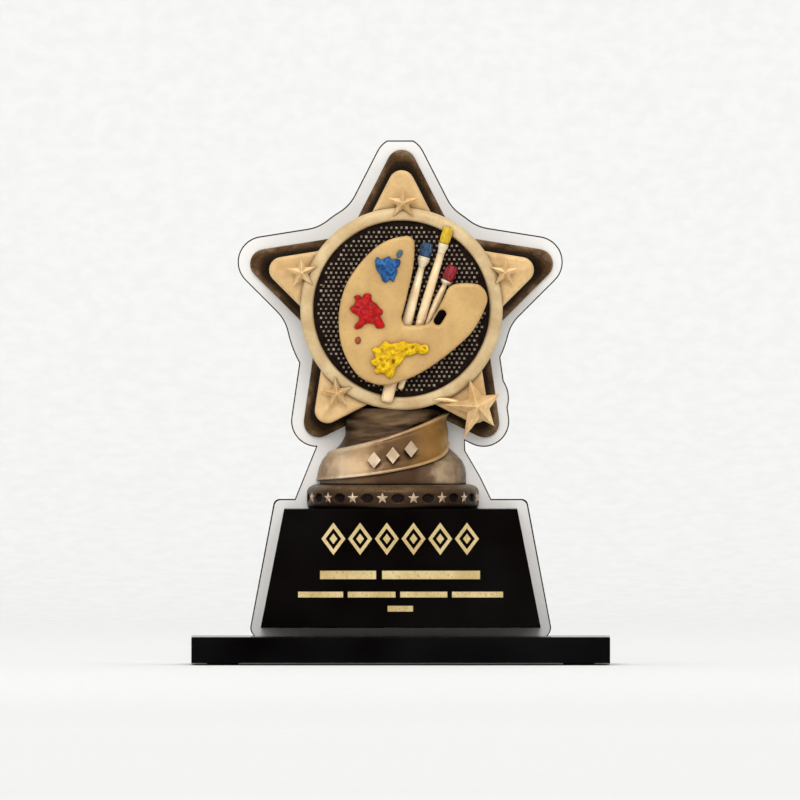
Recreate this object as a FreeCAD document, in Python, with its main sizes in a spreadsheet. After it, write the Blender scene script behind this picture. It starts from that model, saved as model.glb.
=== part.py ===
import FreeCAD, Part
import math
import os
import Sketcher
from FreeCAD import Placement, Rotation, Vector

# Star trophy: a relief award on a contour-cut acrylic panel that stands in a black acrylic base.
# Frame: origin at the centre of the underside, +X right, -Y towards the viewer, +Z up, millimetres.

doc = FreeCAD.newDocument("StarTrophy")

SIZES = (
    ("slab_wide", 160.0, "base slab, left to right"),
    ("slab_deep", 70.0, "base slab, front to back"),
    ("slab_high", 10.0, "base slab thickness"),
    ("slab_edge", 0.6, "polished edge radius of the slab"),
    ("pad_high", 0.8, "rubber foot thickness"),
    ("pad_radius", 6.0, "rubber foot radius"),
    ("pad_inset", 12.0, "rubber foot centre from the slab edges"),
    ("panel_front", 12.0, "y of the panel's front face"),
    ("panel_thick", 5.0, "acrylic panel thickness"),
    ("tongue_wide", 70.0, "panel tongue let into the slab"),
    ("tongue_deep", 8.0, "depth of the slot in the slab"),
    ("slot_play", 0.15, "clearance round the tongue"),
    ("halo", 3.75, "white border round the star"),
    ("ring_halo", 4.1, "white border round the ring"),
    ("halo_shift_x", -0.5, "star border's centre from the star's, left to right"),
    ("halo_shift_z", 0.7, "star border's centre above the star's"),
    ("ring_shift_x", -1.2, "ring border's centre from the star's, left to right"),
    ("halo_blend", 16.0, "radius where the star and ring borders meet"),
    ("top_flat", 199.55, "height of the flat cut across the panel's top point"),
    ("band_thick", 0.45, "black edge trim"),
    ("star_mid_x", 0.3, "star centre, left to right"),
    ("star_mid_z", 135.9, "star centre height"),
    ("body_tip", 67.4, "star body, sharp tip radius at the panel"),
    ("leg_trim", 1.3, "the two lower points of the star body are this much shorter"),
    ("star_ratio", 0.51, "inner corner radius over tip radius"),
    ("body_round", 5.7, "star body tip rounding"),
    ("body_deep", 14.0, "star body depth"),
    ("body_front_tip", 57.4, "star body, sharp tip radius under the gold face"),
    ("face_tip", 58.8, "gold face, sharp tip radius"),
    ("face_round", 4.9, "gold face tip rounding"),
    ("face_thick", 3.0, "gold face thickness"),
    ("ring_outer", 38.7, "ring outer radius"),
    ("ring_inner", 33.7, "ring inner radius"),
    ("ring_thick", 2.6, "ring depth"),
    ("mesh_thick", 1.0, "mesh disc thickness"),
    ("palette_gap", 5.2, "palette stands this far off the mesh disc"),
    ("palette_thick", 3.0, "palette thickness"),
    ("palette_wide", 56.8, "palette, left to right"),
    ("palette_mid_x", 4.6, "palette centre, left to right"),
    ("palette_mid_z", 135.2, "palette centre height"),
    ("plinth_low", 14.2, "underside of the plinth"),
    ("plinth_top", 59.6, "top of the plinth"),
    ("plinth_half_low", 53.5, "half width of the plinth at its underside"),
    ("plinth_half_top", 44.5, "half width of the plinth at its top"),
    ("plinth_front", -19.0, "y of the plinth block's front"),
    ("plate_thick", 2.0, "name plate thickness"),
    ("inlay_thick", 0.6, "gold inlays on the name plate"),
    ("pedestal_x", -3.0, "pedestal axis, left to right"),
    ("foot_radius", 32.8, "pedestal foot ring radius"),
    ("foot_high", 9.2, "pedestal foot ring height"),
    ("bell_radius", 27.9, "pedestal bell radius at its foot"),
    ("neck_radius", 17.2, "pedestal neck radius"),
    ("ribbon_thick", 1.0, "ribbon thickness"),
    ("part_gap", 0.1, "clearance between fitted cast parts"),
    ("point_star", 6.5, "small raised star, tip radius"),
    ("corner_star", 10.7, "large raised star, tip radius"),
    ("seat_play", 0.15, "clearance between the pedestal and the star in front of it"),
    ("screw_radius", 1.95, "M4 panel screw shank radius"),
    ("screw_long", 12.0, "M4 panel screw length under the head"),
    ("head_high", 2.4, "M4 pan head height"),
    ("head_radius", 3.7, "M4 pan head radius"),
    ("recess_deep", 1.3, "cross recess depth"),
    ("hole_radius", 2.2, "clearance hole in the panel for an M4 screw"),
    ("washer_outer", 4.5, "washer outer radius"),
    ("washer_bore", 2.15, "washer bore radius"),
    ("washer_thick", 0.8, "washer thickness"),
    ("tap_radius", 1.5, "M3 tapped hole in the tongue"),
    ("tap_deep", 9.5, "depth of the tapped hole"),
    ("insert_bore", 2.0, "threaded insert bore radius"),
    ("insert_outer", 2.9, "threaded insert outer radius"),
    ("insert_long", 8.0, "threaded insert length"),
)

PANEL_Y = "Sizes.panel_front"
FACE_Y = "(Sizes.panel_front - Sizes.body_deep - Sizes.face_thick)"
RING_Y = f"({FACE_Y} - Sizes.ring_thick)"
MESH_Y = f"({FACE_Y} - Sizes.mesh_thick)"
PALETTE_BACK = f"({MESH_Y} - Sizes.palette_gap)"
PALETTE_Y = f"({PALETTE_BACK} - Sizes.palette_thick)"
WASHER_BACK = "(Sizes.panel_front + Sizes.panel_thick + Sizes.washer_thick)"
PLATE_Y = "(Sizes.plinth_front - Sizes.plate_thick)"
SLAB_TOP = "(Sizes.pad_high + Sizes.slab_high)"
STAR_X = "Sizes.star_mid_x"
STAR_Z = "Sizes.star_mid_z"

# Local +Z of a turned primitive points at the viewer, its local +Y points up.
FORWARD = Rotation(Vector(1, 0, 0), 90)

# Screws from behind the panel: x, z. Three hold the star, one the bell, one the foot ring, two the plinth.
STAR_SCREWS = ((0.3, 161.0), (-21.0, 124.0), (21.6, 124.0))
BELL_SCREWS = ((-3.0, 88.0),)
FOOT_SCREWS = ((-3.0, 64.6),)
PLINTH_SCREWS = ((-30.0, 37.0), (30.0, 37.0))
ALL_SCREWS = STAR_SCREWS + BELL_SCREWS + FOOT_SCREWS + PLINTH_SCREWS
TONGUE_SCREWS = (-22.0, 22.0)


def fill_sheet():
    sheet = doc.addObject("Spreadsheet::Sheet", "Sizes")
    for row, (name, value, note) in enumerate(SIZES, 1):
        sheet.set(f"A{row}", name)
        sheet.set(f"B{row}", str(value))
        sheet.set(f"C{row}", note)
        sheet.setAlias(f"B{row}", name)
    doc.recompute()
    return sheet


sheet = fill_sheet()


def number(formula):
    value = sheet.evalExpression(str(formula))
    return float(getattr(value, "Value", value))


def bind(item, **formulas):
    for name, formula in formulas.items():
        item.setExpression(name.replace("__", "."), str(formula))


def place(item, x, y, z, rotation=None):
    if rotation is not None:
        item.Placement = Placement(Vector(), rotation)
    bind(item, Placement__Base__x=x, Placement__Base__y=y, Placement__Base__z=z)
    return item


# ---------------------------------------------------------------- sketches

def new_body(label):
    body = doc.addObject("PartDesign::Body", label)
    body.Label = label
    return body


def new_sketch(body, role, name, lift="0"):
    plane = next(f for f in body.Origin.OriginFeatures if f.Role == role)
    sketch = body.newObject("Sketcher::SketchObject", name)
    sketch.AttachmentSupport = (plane, [""])
    sketch.MapMode = "FlatFace"
    sketch.setExpression("AttachmentOffset.Base.z", lift)
    return sketch


def fix_point(sketch, geometry, vertex, x, y):
    for kind, formula in (("DistanceX", x), ("DistanceY", y)):
        row = sketch.addConstraint(Sketcher.Constraint(kind, -1, 1, geometry, vertex, number(formula)))
        sketch.setExpression(f"Constraints[{row}]", formula)


def arc_between(start, end, radius, clockwise):
    chord = end - start
    half = chord.Length / 2
    rise = math.sqrt(max(radius * radius - half * half, 0.0))
    across = Vector(-chord.y, chord.x, 0).normalize()
    centre = (start + end) * 0.5 + across * (-rise if clockwise else rise)
    first, last = (end, start) if clockwise else (start, end)
    low = math.atan2(first.y - centre.y, first.x - centre.x)
    high = math.atan2(last.y - centre.y, last.x - centre.x)
    if high < low:
        high += 2 * math.pi
    return Part.ArcOfCircle(Part.Circle(centre, Vector(0, 0, 1), radius), low, high)


def draw_loop(sketch, steps):
    """Closed outline. A step is (x, y) for a straight run to it, or (x, y, radius) for an arc:
    a positive radius turns left on the way there and a negative one turns right."""
    corners = [Vector(number(step[0]), number(step[1]), 0) for step in steps]
    base = sketch.GeometryCount
    count = len(steps)
    ends = []
    for index, step in enumerate(steps):
        start, end = corners[index - 1], corners[index]
        clockwise = len(step) == 3 and number(step[2]) < 0
        if len(step) == 2:
            shape = Part.LineSegment(start, end)
        else:
            shape = arc_between(start, end, abs(number(step[2])), clockwise)
        sketch.addGeometry(shape, False)
        ends.append((2, 1) if clockwise else (1, 2))
    for index in range(count):
        after = (index + 1) % count
        here, there = ends[index][1], ends[after][0]
        sketch.addConstraint(Sketcher.Constraint("Coincident", base + index, here, base + after, there))
    for index, step in enumerate(steps):
        fix_point(sketch, base + index, ends[index][1], str(step[0]), str(step[1]))
        if len(step) == 3:
            radius = abs(number(step[2]))
            row = sketch.addConstraint(Sketcher.Constraint("Radius", base + index, radius))
            sketch.setExpression(f"Constraints[{row}]", f"abs({step[2]})")


def draw_circle(sketch, x, y, radius):
    centre = Vector(number(x), number(y), 0)
    row = sketch.addGeometry(Part.Circle(centre, Vector(0, 0, 1), number(radius)), False)
    fix_point(sketch, row, 3, str(x), str(y))
    size = sketch.addConstraint(Sketcher.Constraint("Radius", row, number(radius)))
    sketch.setExpression(f"Constraints[{size}]", str(radius))


def star_steps(tip, ratio, trim="0"):
    """Five-pointed star round the sketch's origin; trim shortens the two lower points."""
    steps = []
    for corner in range(10):
        reach = tip if corner % 2 == 0 else f"{tip} * {ratio}"
        if corner in (4, 6):
            reach = f"({tip} - {trim})"
        angle = 90 + 36 * corner
        steps.append((f"{reach} * cos({angle})", f"{reach} * sin({angle})"))
    return steps


def box_steps(x_low, z_low, x_high, z_high):
    return ((x_low, z_low), (x_high, z_low), (x_high, z_high), (x_low, z_high))


# ---------------------------------------------------------------- features

def pad(body, sketch, length, **extra):
    feature = body.newObject("PartDesign::Pad", "Pad")
    feature.Profile = sketch
    bind(feature, Length=length, **extra)
    return feature


def pocket(body, sketch, length, backwards=False):
    feature = body.newObject("PartDesign::Pocket", "Pocket")
    feature.Profile = sketch
    feature.Reversed = backwards
    bind(feature, Length=length)
    return feature


def fillet(body, base, names, radius):
    feature = body.newObject("PartDesign::Fillet", "Fillet")
    feature.Base = (base, names)
    bind(feature, Radius=radius)
    return feature


def revolve(body, sketch, angle):
    feature = body.newObject("PartDesign::Revolution", "Revolution")
    feature.Profile = sketch
    feature.ReferenceAxis = (sketch, ["V_Axis"])
    feature.Angle = angle
    feature.Reversed = True
    return feature


def edges_where(feature, test):
    doc.recompute()
    return [f"Edge{row}" for row, edge in enumerate(feature.Shape.Edges, 1) if test(edge)]


def tip_edges(feature, least):
    """Edges that run front to back and stay further than `least` from the star's centre."""
    def is_tip(edge):
        box = edge.BoundBox
        near = min(math.hypot(v.X, v.Z) for v in edge.Vertexes)
        return box.YLength > 0.5 and near > least
    return edges_where(feature, is_tip)


def inner_edges(feature, most, lowest):
    """Edges that run front to back, within `most` of the star's centre and above `lowest`."""
    def is_inner(edge):
        box = edge.BoundBox
        far = max(math.hypot(v.X, v.Z) for v in edge.Vertexes)
        return box.YLength > 0.5 and far < most and box.ZMin > lowest
    return edges_where(feature, is_inner)


def cylinder(name, radius, height, x, y, z, rotation=FORWARD):
    item = doc.addObject("Part::Cylinder", name)
    bind(item, Radius=radius, Height=height)
    return place(item, x, y, z, rotation)


def group(label, members):
    item = doc.addObject("Part::Compound", label)
    item.Links = members
    item.Label = label
    return item


def cut(label, base, tool):
    item = doc.addObject("Part::Cut", label)
    item.Base = base
    item.Tool = tool
    item.Label = label
    return item


def common(label, base, tool):
    item = doc.addObject("Part::MultiCommon", label)
    item.Shapes = [base, tool]
    item.Label = label
    return item


def fuse(label, members):
    item = doc.addObject("Part::MultiFuse", label)
    item.Shapes = members
    item.Label = label
    return item


# ---------------------------------------------------------------- base

def base_slab():
    body = new_body("base_slab")
    outline = new_sketch(body, "XY_Plane", "SlabOutline", "Sizes.pad_high")
    half_x, half_y = "Sizes.slab_wide / 2", "Sizes.slab_deep / 2"
    draw_loop(outline, box_steps(f"-{half_x}", f"-{half_y}", half_x, half_y))
    block = pad(body, outline, "Sizes.slab_high")
    top = number(SLAB_TOP)
    rim = edges_where(block, lambda e: e.BoundBox.ZMin > top - 0.1 or e.BoundBox.ZLength > 1)
    fillet(body, block, rim, "Sizes.slab_edge")
    slot = new_sketch(body, "XY_Plane", "Slot", SLAB_TOP)
    side = "(Sizes.tongue_wide / 2 + Sizes.slot_play)"
    near = f"{PANEL_Y} - Sizes.slot_play"
    far = f"{PANEL_Y} + Sizes.panel_thick + Sizes.slot_play"
    draw_loop(slot, box_steps(f"-{side}", near, side, far))
    pocket(body, slot, "Sizes.tongue_deep")
    for row, x in enumerate(TONGUE_SCREWS):
        countersink(body, row, x)
    return body


def countersink(body, row, x):
    hole = new_sketch(body, "XZ_Plane", f"ScrewHole{row}", f"-({PANEL_Y} + Sizes.panel_thick / 2)")
    low = "Sizes.pad_high"
    draw_loop(hole, (
        (x, low), (f"{x} + 3.1", low), (f"{x} + 1.6", f"{low} + 1.5"),
        (f"{x} + 1.6", f"{low} + 4"), (x, f"{low} + 4")))
    feature = body.newObject("PartDesign::Groove", "Groove")
    feature.Profile = hole
    feature.ReferenceAxis = (hole, ["Edge1"])
    feature.Angle = 360


def base_screws():
    screws = []
    for row, x in enumerate(TONGUE_SCREWS):
        body = new_body(f"TongueScrew{row}")
        profile = new_sketch(body, "XZ_Plane", "Profile")
        draw_loop(profile, (
            ("0", "0.9"), ("1.1", "0.9"), ("1.1", "0.05"), ("2.9", "0.05"),
            ("1.45", "1.5"), ("1.45", "9.6"), ("1.1", "10"), ("0", "10")))
        revolve(body, profile, 360)
        place(body, x, f"{PANEL_Y} + Sizes.panel_thick / 2", "Sizes.pad_high")
        screws.append(body)
    return group("base_screws", screws)


def foot_pads():
    pads = []
    for right in (-1, 1):
        for back in (-1, 1):
            x = f"{right} * (Sizes.slab_wide / 2 - Sizes.pad_inset)"
            y = f"{back} * (Sizes.slab_deep / 2 - Sizes.pad_inset)"
            pads.append(cylinder("FootPad", "Sizes.pad_radius", "Sizes.pad_high", x, y, "0", Rotation()))
    return group("foot_pads", pads)


# ---------------------------------------------------------------- panel

def panel_outline(label, grow):
    """Panel made of overlapping flat shapes: star, ring, corner star, pedestal and plinth borders."""
    body = new_body(label)
    back = f"-({PANEL_Y} + Sizes.panel_thick)"
    thick = "Sizes.panel_thick"

    star = new_sketch(body, "XZ_Plane", "StarBorder", back)
    reach = f"(Sizes.body_tip + (Sizes.halo + {grow}) / sin(27))"
    steps = star_steps(reach, "Sizes.star_ratio", "Sizes.leg_trim")
    draw_loop(star, [(f"{x} + Sizes.halo_shift_x", f"{z} + Sizes.halo_shift_z") for x, z in steps])
    star_pad = pad(body, star, thick)
    fillet(body, star_pad, tip_edges(star_pad, 60), f"Sizes.body_round + Sizes.halo + {grow}")
    flat = new_sketch(body, "XZ_Plane", "TopFlat", back)
    level = f"Sizes.top_flat + {grow} - {STAR_Z}"
    draw_loop(flat, box_steps("-20", level, "20", f"{level} + 10"))
    pocket(body, flat, thick, True)

    ring = new_sketch(body, "XZ_Plane", "RingBorder", back)
    draw_circle(ring, "Sizes.ring_shift_x", "0", f"Sizes.ring_outer + Sizes.ring_halo + {grow}")
    ring_pad = pad(body, ring, thick)
    fillet(body, ring_pad, inner_edges(ring_pad, 48, -12), f"Sizes.halo_blend - {grow}")
    corner = new_sketch(body, "XZ_Plane", "CornerStarBorder", back)
    draw_circle(corner, "29", "-34.4", f"Sizes.corner_star + 0.9 + {grow}")
    pad(body, corner, thick)

    for name, steps in (("PedestalBorder", pedestal_border(grow)), ("PlinthBorder", plinth_border(grow))):
        area = new_sketch(body, "XZ_Plane", name, back)
        draw_loop(area, [(f"{x} - {STAR_X}", f"{z} - {STAR_Z}", *bend) for x, z, *bend in steps])
        pad(body, area, thick)
    return place(body, STAR_X, "0", STAR_Z)


def pedestal_border(grow):
    left_low, left_top = f"-40.8 - {grow}", f"-31.8 - {grow}"
    right_low, right_mid, right_top = f"35.1 + {grow}", f"30 + {grow}", f"24.2 + {grow}"
    return ((left_low, "61"), (right_low, "61"), (right_mid, "71.5"), (right_top, "81.5"),
            ("24", "100"), ("-31", "100"), (left_top, "83.2"))


def plinth_border(grow):
    top = f"Sizes.plinth_top + 3.0 + {grow}"
    side_top = f"(Sizes.plinth_half_top + 3.4 + {grow})"
    side_low = f"(Sizes.plinth_half_low + 3.5 + {grow})"
    foot = f"(Sizes.plinth_half_low + 2 + {grow})"
    return ((f"-{side_top} + 2.2", top),
            (f"-{side_top} - 0.35", f"{top} - 2.4", 2.5),
            (f"-{side_low}", "Sizes.plinth_low"),
            (f"-{foot}", SLAB_TOP, 4),
            (foot, SLAB_TOP),
            (side_low, "Sizes.plinth_low", 4),
            (f"{side_top} + 0.35", f"{top} - 2.4"),
            (f"{side_top} - 2.2", top, 2.5))


def backing_panel():
    body = panel_outline("backing_panel", "0")
    tongue = new_sketch(body, "XZ_Plane", "Tongue", f"-({PANEL_Y} + Sizes.panel_thick)")
    side = "Sizes.tongue_wide / 2"
    draw_loop(tongue, box_steps(
        f"-{side} - {STAR_X}", f"{SLAB_TOP} - Sizes.tongue_deep - {STAR_Z}",
        f"{side} - {STAR_X}", f"{SLAB_TOP} + 1 - {STAR_Z}"))
    pad(body, tongue, "Sizes.panel_thick")
    holes = new_sketch(body, "XZ_Plane", "ScrewHoles", f"-({PANEL_Y} + Sizes.panel_thick)")
    for x, z in ALL_SCREWS:
        draw_circle(holes, f"{x} - {STAR_X}", f"{z} - {STAR_Z}", "Sizes.hole_radius")
    pocket(body, holes, "Sizes.panel_thick", True)
    taps = new_sketch(body, "XY_Plane", "TappedHoles", f"{SLAB_TOP} - Sizes.tongue_deep - {STAR_Z}")
    for x in TONGUE_SCREWS:
        draw_circle(taps, f"{x} - {STAR_X}", f"{PANEL_Y} + Sizes.panel_thick / 2", "Sizes.tap_radius")
    pocket(body, taps, "Sizes.tap_deep", True)
    return body


def edge_band():
    """Trim round the rim only: it is hollowed by a panel without screw holes."""
    outer = panel_outline("BandOutline", "Sizes.band_thick")
    return cut("edge_band", outer, panel_outline("BandHollow", "0"))


def panel_screws():
    screws = []
    for row, (x, z) in enumerate(ALL_SCREWS):
        body = new_body(f"PanelScrew{row}")
        profile = new_sketch(body, "XZ_Plane", "Profile")
        draw_loop(profile, (
            ("0", "-Sizes.head_high"), ("Sizes.head_radius - 1.5", "-Sizes.head_high"),
            ("Sizes.head_radius", "-Sizes.head_high + 1.3", 2.2), ("Sizes.head_radius", "0"),
            ("Sizes.screw_radius", "0"), ("Sizes.screw_radius", "Sizes.screw_long - 0.4"),
            ("Sizes.screw_radius - 0.4", "Sizes.screw_long"), ("0", "Sizes.screw_long")))
        revolve(body, profile, 360)
        recess = new_sketch(body, "XY_Plane", "CrossRecess", "-Sizes.head_high")
        arm, half = "2.0", "0.45"
        draw_loop(recess, (
            (f"-{arm}", f"-{half}"), (f"-{half}", f"-{half}"), (f"-{half}", f"-{arm}"),
            (half, f"-{arm}"), (half, f"-{half}"), (arm, f"-{half}"),
            (arm, half), (half, half), (half, arm),
            (f"-{half}", arm), (f"-{half}", half), (f"-{arm}", half)))
        pocket(body, recess, "Sizes.recess_deep", True)
        place(body, x, WASHER_BACK, z, FORWARD)
        screws.append(body)
    return group("panel_screws", screws)


def ring_solid(name, outer, inner, length, x, y, z):
    body = new_body(name)
    profile = new_sketch(body, "XY_Plane", "Rings")
    draw_circle(profile, "0", "0", outer)
    draw_circle(profile, "0", "0", inner)
    pad(body, profile, length)
    return place(body, x, y, z, FORWARD)


def panel_washers():
    outer, bore, thick = "Sizes.washer_outer", "Sizes.washer_bore", "Sizes.washer_thick"
    return group("panel_washers", [
        ring_solid(f"Washer{row}", outer, bore, thick, x, WASHER_BACK, z)
        for row, (x, z) in enumerate(ALL_SCREWS)])


def threaded_inserts():
    outer, bore, long = "Sizes.insert_outer", "Sizes.insert_bore", "Sizes.insert_long"
    return group("threaded_inserts", [
        ring_solid(f"Insert{row}", outer, bore, long, x, PANEL_Y, z)
        for row, (x, z) in enumerate(ALL_SCREWS)])


def insert_holes(body, spots, shift_x="0", shift_z="0", y=PANEL_Y):
    sketch = new_sketch(body, "XZ_Plane", "InsertHoles", f"-({y})")
    for x, z in spots:
        draw_circle(sketch, f"{x} - {shift_x}", f"{z} - {shift_z}", "Sizes.insert_outer")
    pocket(body, sketch, "Sizes.insert_long + 0.5", True)


# ---------------------------------------------------------------- plinth

def plinth_steps(inset="0"):
    low, top = f"Sizes.plinth_half_low - {inset}", f"Sizes.plinth_half_top - {inset}"
    return ((f"-({low})", "Sizes.plinth_low"), (low, "Sizes.plinth_low"),
            (top, "Sizes.plinth_top"), (f"-({top})", "Sizes.plinth_top"))


def plinth_block():
    body = new_body("plinth_block")
    outline = new_sketch(body, "XZ_Plane", "PlinthOutline", f"-{PANEL_Y}")
    draw_loop(outline, plinth_steps())
    pad(body, outline, f"{PANEL_Y} - Sizes.plinth_front")
    insert_holes(body, PLINTH_SCREWS)
    return body


def name_plate():
    body = new_body("name_plate")
    outline = new_sketch(body, "XZ_Plane", "PlateOutline", "-Sizes.plinth_front")
    draw_loop(outline, plinth_steps())
    plate = pad(body, outline, "Sizes.plate_thick")
    front = number(PLATE_Y)
    rim = edges_where(plate, lambda e: e.BoundBox.YMax < front + 0.1)
    bevel = body.newObject("PartDesign::Chamfer", "Bevel")
    bevel.Base = (plate, rim)
    bevel.Size = 0.5
    return body


def inlay(label, loops):
    body = new_body(label)
    body.AllowCompound = True
    sketch = new_sketch(body, "XZ_Plane", "InlayOutlines", f"-{PLATE_Y}")
    for loop in loops:
        draw_loop(sketch, loop)
    pad(body, sketch, "Sizes.inlay_thick")
    return body


def lozenge(x, z, half_wide, half_high):
    return ((x - half_wide, z), (x, z - half_high), (x + half_wide, z), (x, z + half_high))


def title_ornament():
    loops = []
    for x in (-25.7, -15.5, -5.3, 4.9, 15.1, 25.3):
        loops.append(lozenge(x, 48.2, 4.6, 6.2))
        loops.append(lozenge(x, 48.2, 3.0, 4.0))
        loops.append(lozenge(x, 48.2, 1.5, 2.0))
    return inlay("title_ornament", loops)


def inscription_bars():
    rows = (
        ("inscription_line_1", 34.4, 3.2, ((-30.8, -9.4), (-7.1, 30.3))),
        ("inscription_line_2", 26.9, 2.2, ((-39.2, -22.0), (-20.2, -2.0), (-0.2, 17.8), (19.6, 39.1))),
        ("inscription_line_3", 21.5, 2.2, ((-5.0, 4.7),)),
    )
    return [inlay(label, [box_steps(low, mid - tall / 2, high, mid + tall / 2) for low, high in runs])
            for label, mid, tall, runs in rows]


# ---------------------------------------------------------------- pedestal

def bell_steps(grow):
    """Half profile of the bell and neck, radius against height above the foot ring's top."""
    return (("0", "0"),
            (f"Sizes.bell_radius + {grow}", "0"),
            (f"Sizes.bell_radius + {grow}", "4.3"),
            (f"Sizes.bell_radius - 3.6 + {grow}", f"11.2 + {grow}", 9),
            (f"Sizes.neck_radius + 1 + {grow}", f"18.3 + {grow}", -12),
            (f"Sizes.neck_radius + 1.4 + {grow}", "33.8", -60),
            ("0", "33.8"))


FOOT_TOP = "(Sizes.plinth_top + Sizes.foot_high)"


def bell_solid(name, grow):
    body = new_body(name)
    profile = new_sketch(body, "XZ_Plane", "BellProfile")
    draw_loop(profile, bell_steps(grow))
    revolve(body, profile, 180)
    return place(body, "Sizes.pedestal_x", PANEL_Y, FOOT_TOP)


def star_clearance():
    """Solid standing where the star body and the ring are, a little larger than both."""
    body = new_body("StarClearance")
    star = new_sketch(body, "XZ_Plane", "StarOutline", f"-{PANEL_Y} - 1")
    tip = "(Sizes.body_tip + Sizes.seat_play / sin(27))"
    draw_loop(star, star_steps(tip, "Sizes.star_ratio", "Sizes.leg_trim"))
    pad(body, star, "40")
    disc = new_sketch(body, "XZ_Plane", "RingOutline", f"-{PANEL_Y} - 1")
    draw_circle(disc, "0", "0", "Sizes.ring_outer + Sizes.seat_play")
    pad(body, disc, "40")
    return place(body, STAR_X, "0", STAR_Z)


def pedestal_body(clearance):
    bell = bell_solid("BellSolid", "0")
    insert_holes(bell, BELL_SCREWS, "Sizes.pedestal_x", FOOT_TOP, "0")
    return cut("pedestal_body", bell, clearance)


def pedestal_foot_ring():
    body = new_body("FootRingSolid")
    profile = new_sketch(body, "XZ_Plane", "FootProfile")
    outer, high = "Sizes.foot_radius", "Sizes.foot_high"
    draw_loop(profile, (
        ("0", "0"), (f"{outer} - 0.5", "0"), (outer, "0.7", 0.8), (outer, "1.4"), (f"{outer} - 0.4", "1.8"),
        (f"{outer} - 0.4", "6.0"), (f"{outer} - 1.4", "7.4", 3), (f"{outer} - 2.2", f"{high} - 0.9", 2),
        (f"{outer} - 3.4", f"{high} - 0.6"), (f"{outer} - 3.6", high), ("0", high)))
    revolve(body, profile, 180)
    insert_holes(body, FOOT_SCREWS, "Sizes.pedestal_x", "Sizes.plinth_top", "0")
    place(body, "Sizes.pedestal_x", PANEL_Y, "Sizes.plinth_top")
    ovals = []
    for angle in FOOT_OVAL_ANGLES:
        oval = doc.addObject("Part::Ellipsoid", "FootOval")
        bind(oval, Radius1="0.9", Radius2="2.6", Radius3="1.7")
        ovals.append(on_foot_ring(oval, angle, "Sizes.foot_radius - 0.4"))
    return cut("pedestal_foot_ring", body, group("FootOvals", ovals))


FOOT_STAR_ANGLES = tuple(-70 + 21 * step for step in range(8))
FOOT_OVAL_ANGLES = tuple(-59.5 + 21 * step for step in range(7))


def on_foot_ring(item, angle, radius):
    """Stand an item on the foot ring's side; angle 0 faces the viewer, positive is to the right."""
    turned = Rotation(Vector(0, 0, 1), angle).multiply(FORWARD)
    return place(item, f"Sizes.pedestal_x + ({radius}) * sin({angle})",
                 f"{PANEL_Y} - ({radius}) * cos({angle})", "Sizes.plinth_top + 4.1", turned)


def foot_ring_stars(foot_ring):
    """Small stars whose backs are shaped to the ring."""
    stars = []
    for row, angle in enumerate(FOOT_STAR_ANGLES):
        body = star_solid(f"FootStar{row}", "2.35", "0.5", "0.5", "0.6")
        stars.append(on_foot_ring(body, angle, "Sizes.foot_radius - 0.5"))
    return cut("foot_ring_stars", group("FootStars", stars), foot_ring)


SASH = (("-34", "71"), ("-23", "70.2", 60), ("-4", "72.7", 80), ("16.5", "81.5", 60), ("26", "88"),
        ("26", "99"), ("15", "97"), ("-8", "86.8", -90), ("-24", "82.6", -120), ("-34", "81.5"))


def sash_window():
    body = new_body("SashWindow")
    sketch = new_sketch(body, "XZ_Plane", "SashOutline", "-Sizes.panel_front")
    draw_loop(sketch, SASH)
    pad(body, sketch, "50")
    return body


def ribbon_end():
    """The loose upper end of the sash, standing off the neck to the right."""
    body = new_body("RibbonEnd")
    sketch = new_sketch(body, "XZ_Plane", "RibbonEndOutline", f"-{PANEL_Y}")
    draw_loop(sketch, (
        ("9", "79.2"), ("15.5", "81.2", 40), ("20.5", "84.2", 30), ("22.3", "90", 14),
        ("22.8", "99"), ("9", "99")))
    pad(body, sketch, f"{PANEL_Y} + 3.6", TaperAngle="-8")
    return body


def ribbon(clearance):
    outer = bell_solid("RibbonOuter", "Sizes.ribbon_thick")
    inner = bell_solid("RibbonInner", "Sizes.part_gap")
    sash = common("RibbonSash", outer, sash_window())
    whole = fuse("RibbonWhole", [sash, ribbon_end()])
    hollow = cut("RibbonHollow", whole, inner)
    return cut("ribbon", hollow, clearance)


def ribbon_ornaments(clearance):
    outer = bell_solid("OrnamentOuter", "Sizes.ribbon_thick + 0.7")
    inner = bell_solid("OrnamentInner", "Sizes.ribbon_thick")
    shell = cut("OrnamentShell", outer, inner)
    body = new_body("OrnamentWindow")
    body.AllowCompound = True
    sketch = new_sketch(body, "XZ_Plane", "Lozenges", "-Sizes.panel_front")
    for x, z in ((-10.2, 78.2), (-3.0, 80.0), (4.0, 82.4)):
        draw_loop(sketch, lozenge(x, z, 2.6, 3.2))
    pad(body, sketch, "50")
    return common("ribbon_ornaments", shell, body)


# ---------------------------------------------------------------- star

def star_body():
    body = new_body("star_body")
    outline = new_sketch(body, "XZ_Plane", "BodyOutline", f"-{PANEL_Y}")
    draw_loop(outline, star_steps("Sizes.body_tip", "Sizes.star_ratio", "Sizes.leg_trim"))
    front = new_sketch(body, "XZ_Plane", "FrontOutline", f"-{PANEL_Y} + Sizes.body_deep")
    draw_loop(front, star_steps("Sizes.body_front_tip", "Sizes.star_ratio"))
    block = body.newObject("PartDesign::AdditiveLoft", "DraftedStar")
    block.Profile = outline
    block.Sections = [(front, [""])]
    block.Ruled = True
    fillet(body, block, tip_edges(block, 50), "Sizes.body_round")
    insert_holes(body, STAR_SCREWS, STAR_X, STAR_Z)
    return place(body, STAR_X, "0", STAR_Z)


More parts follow.
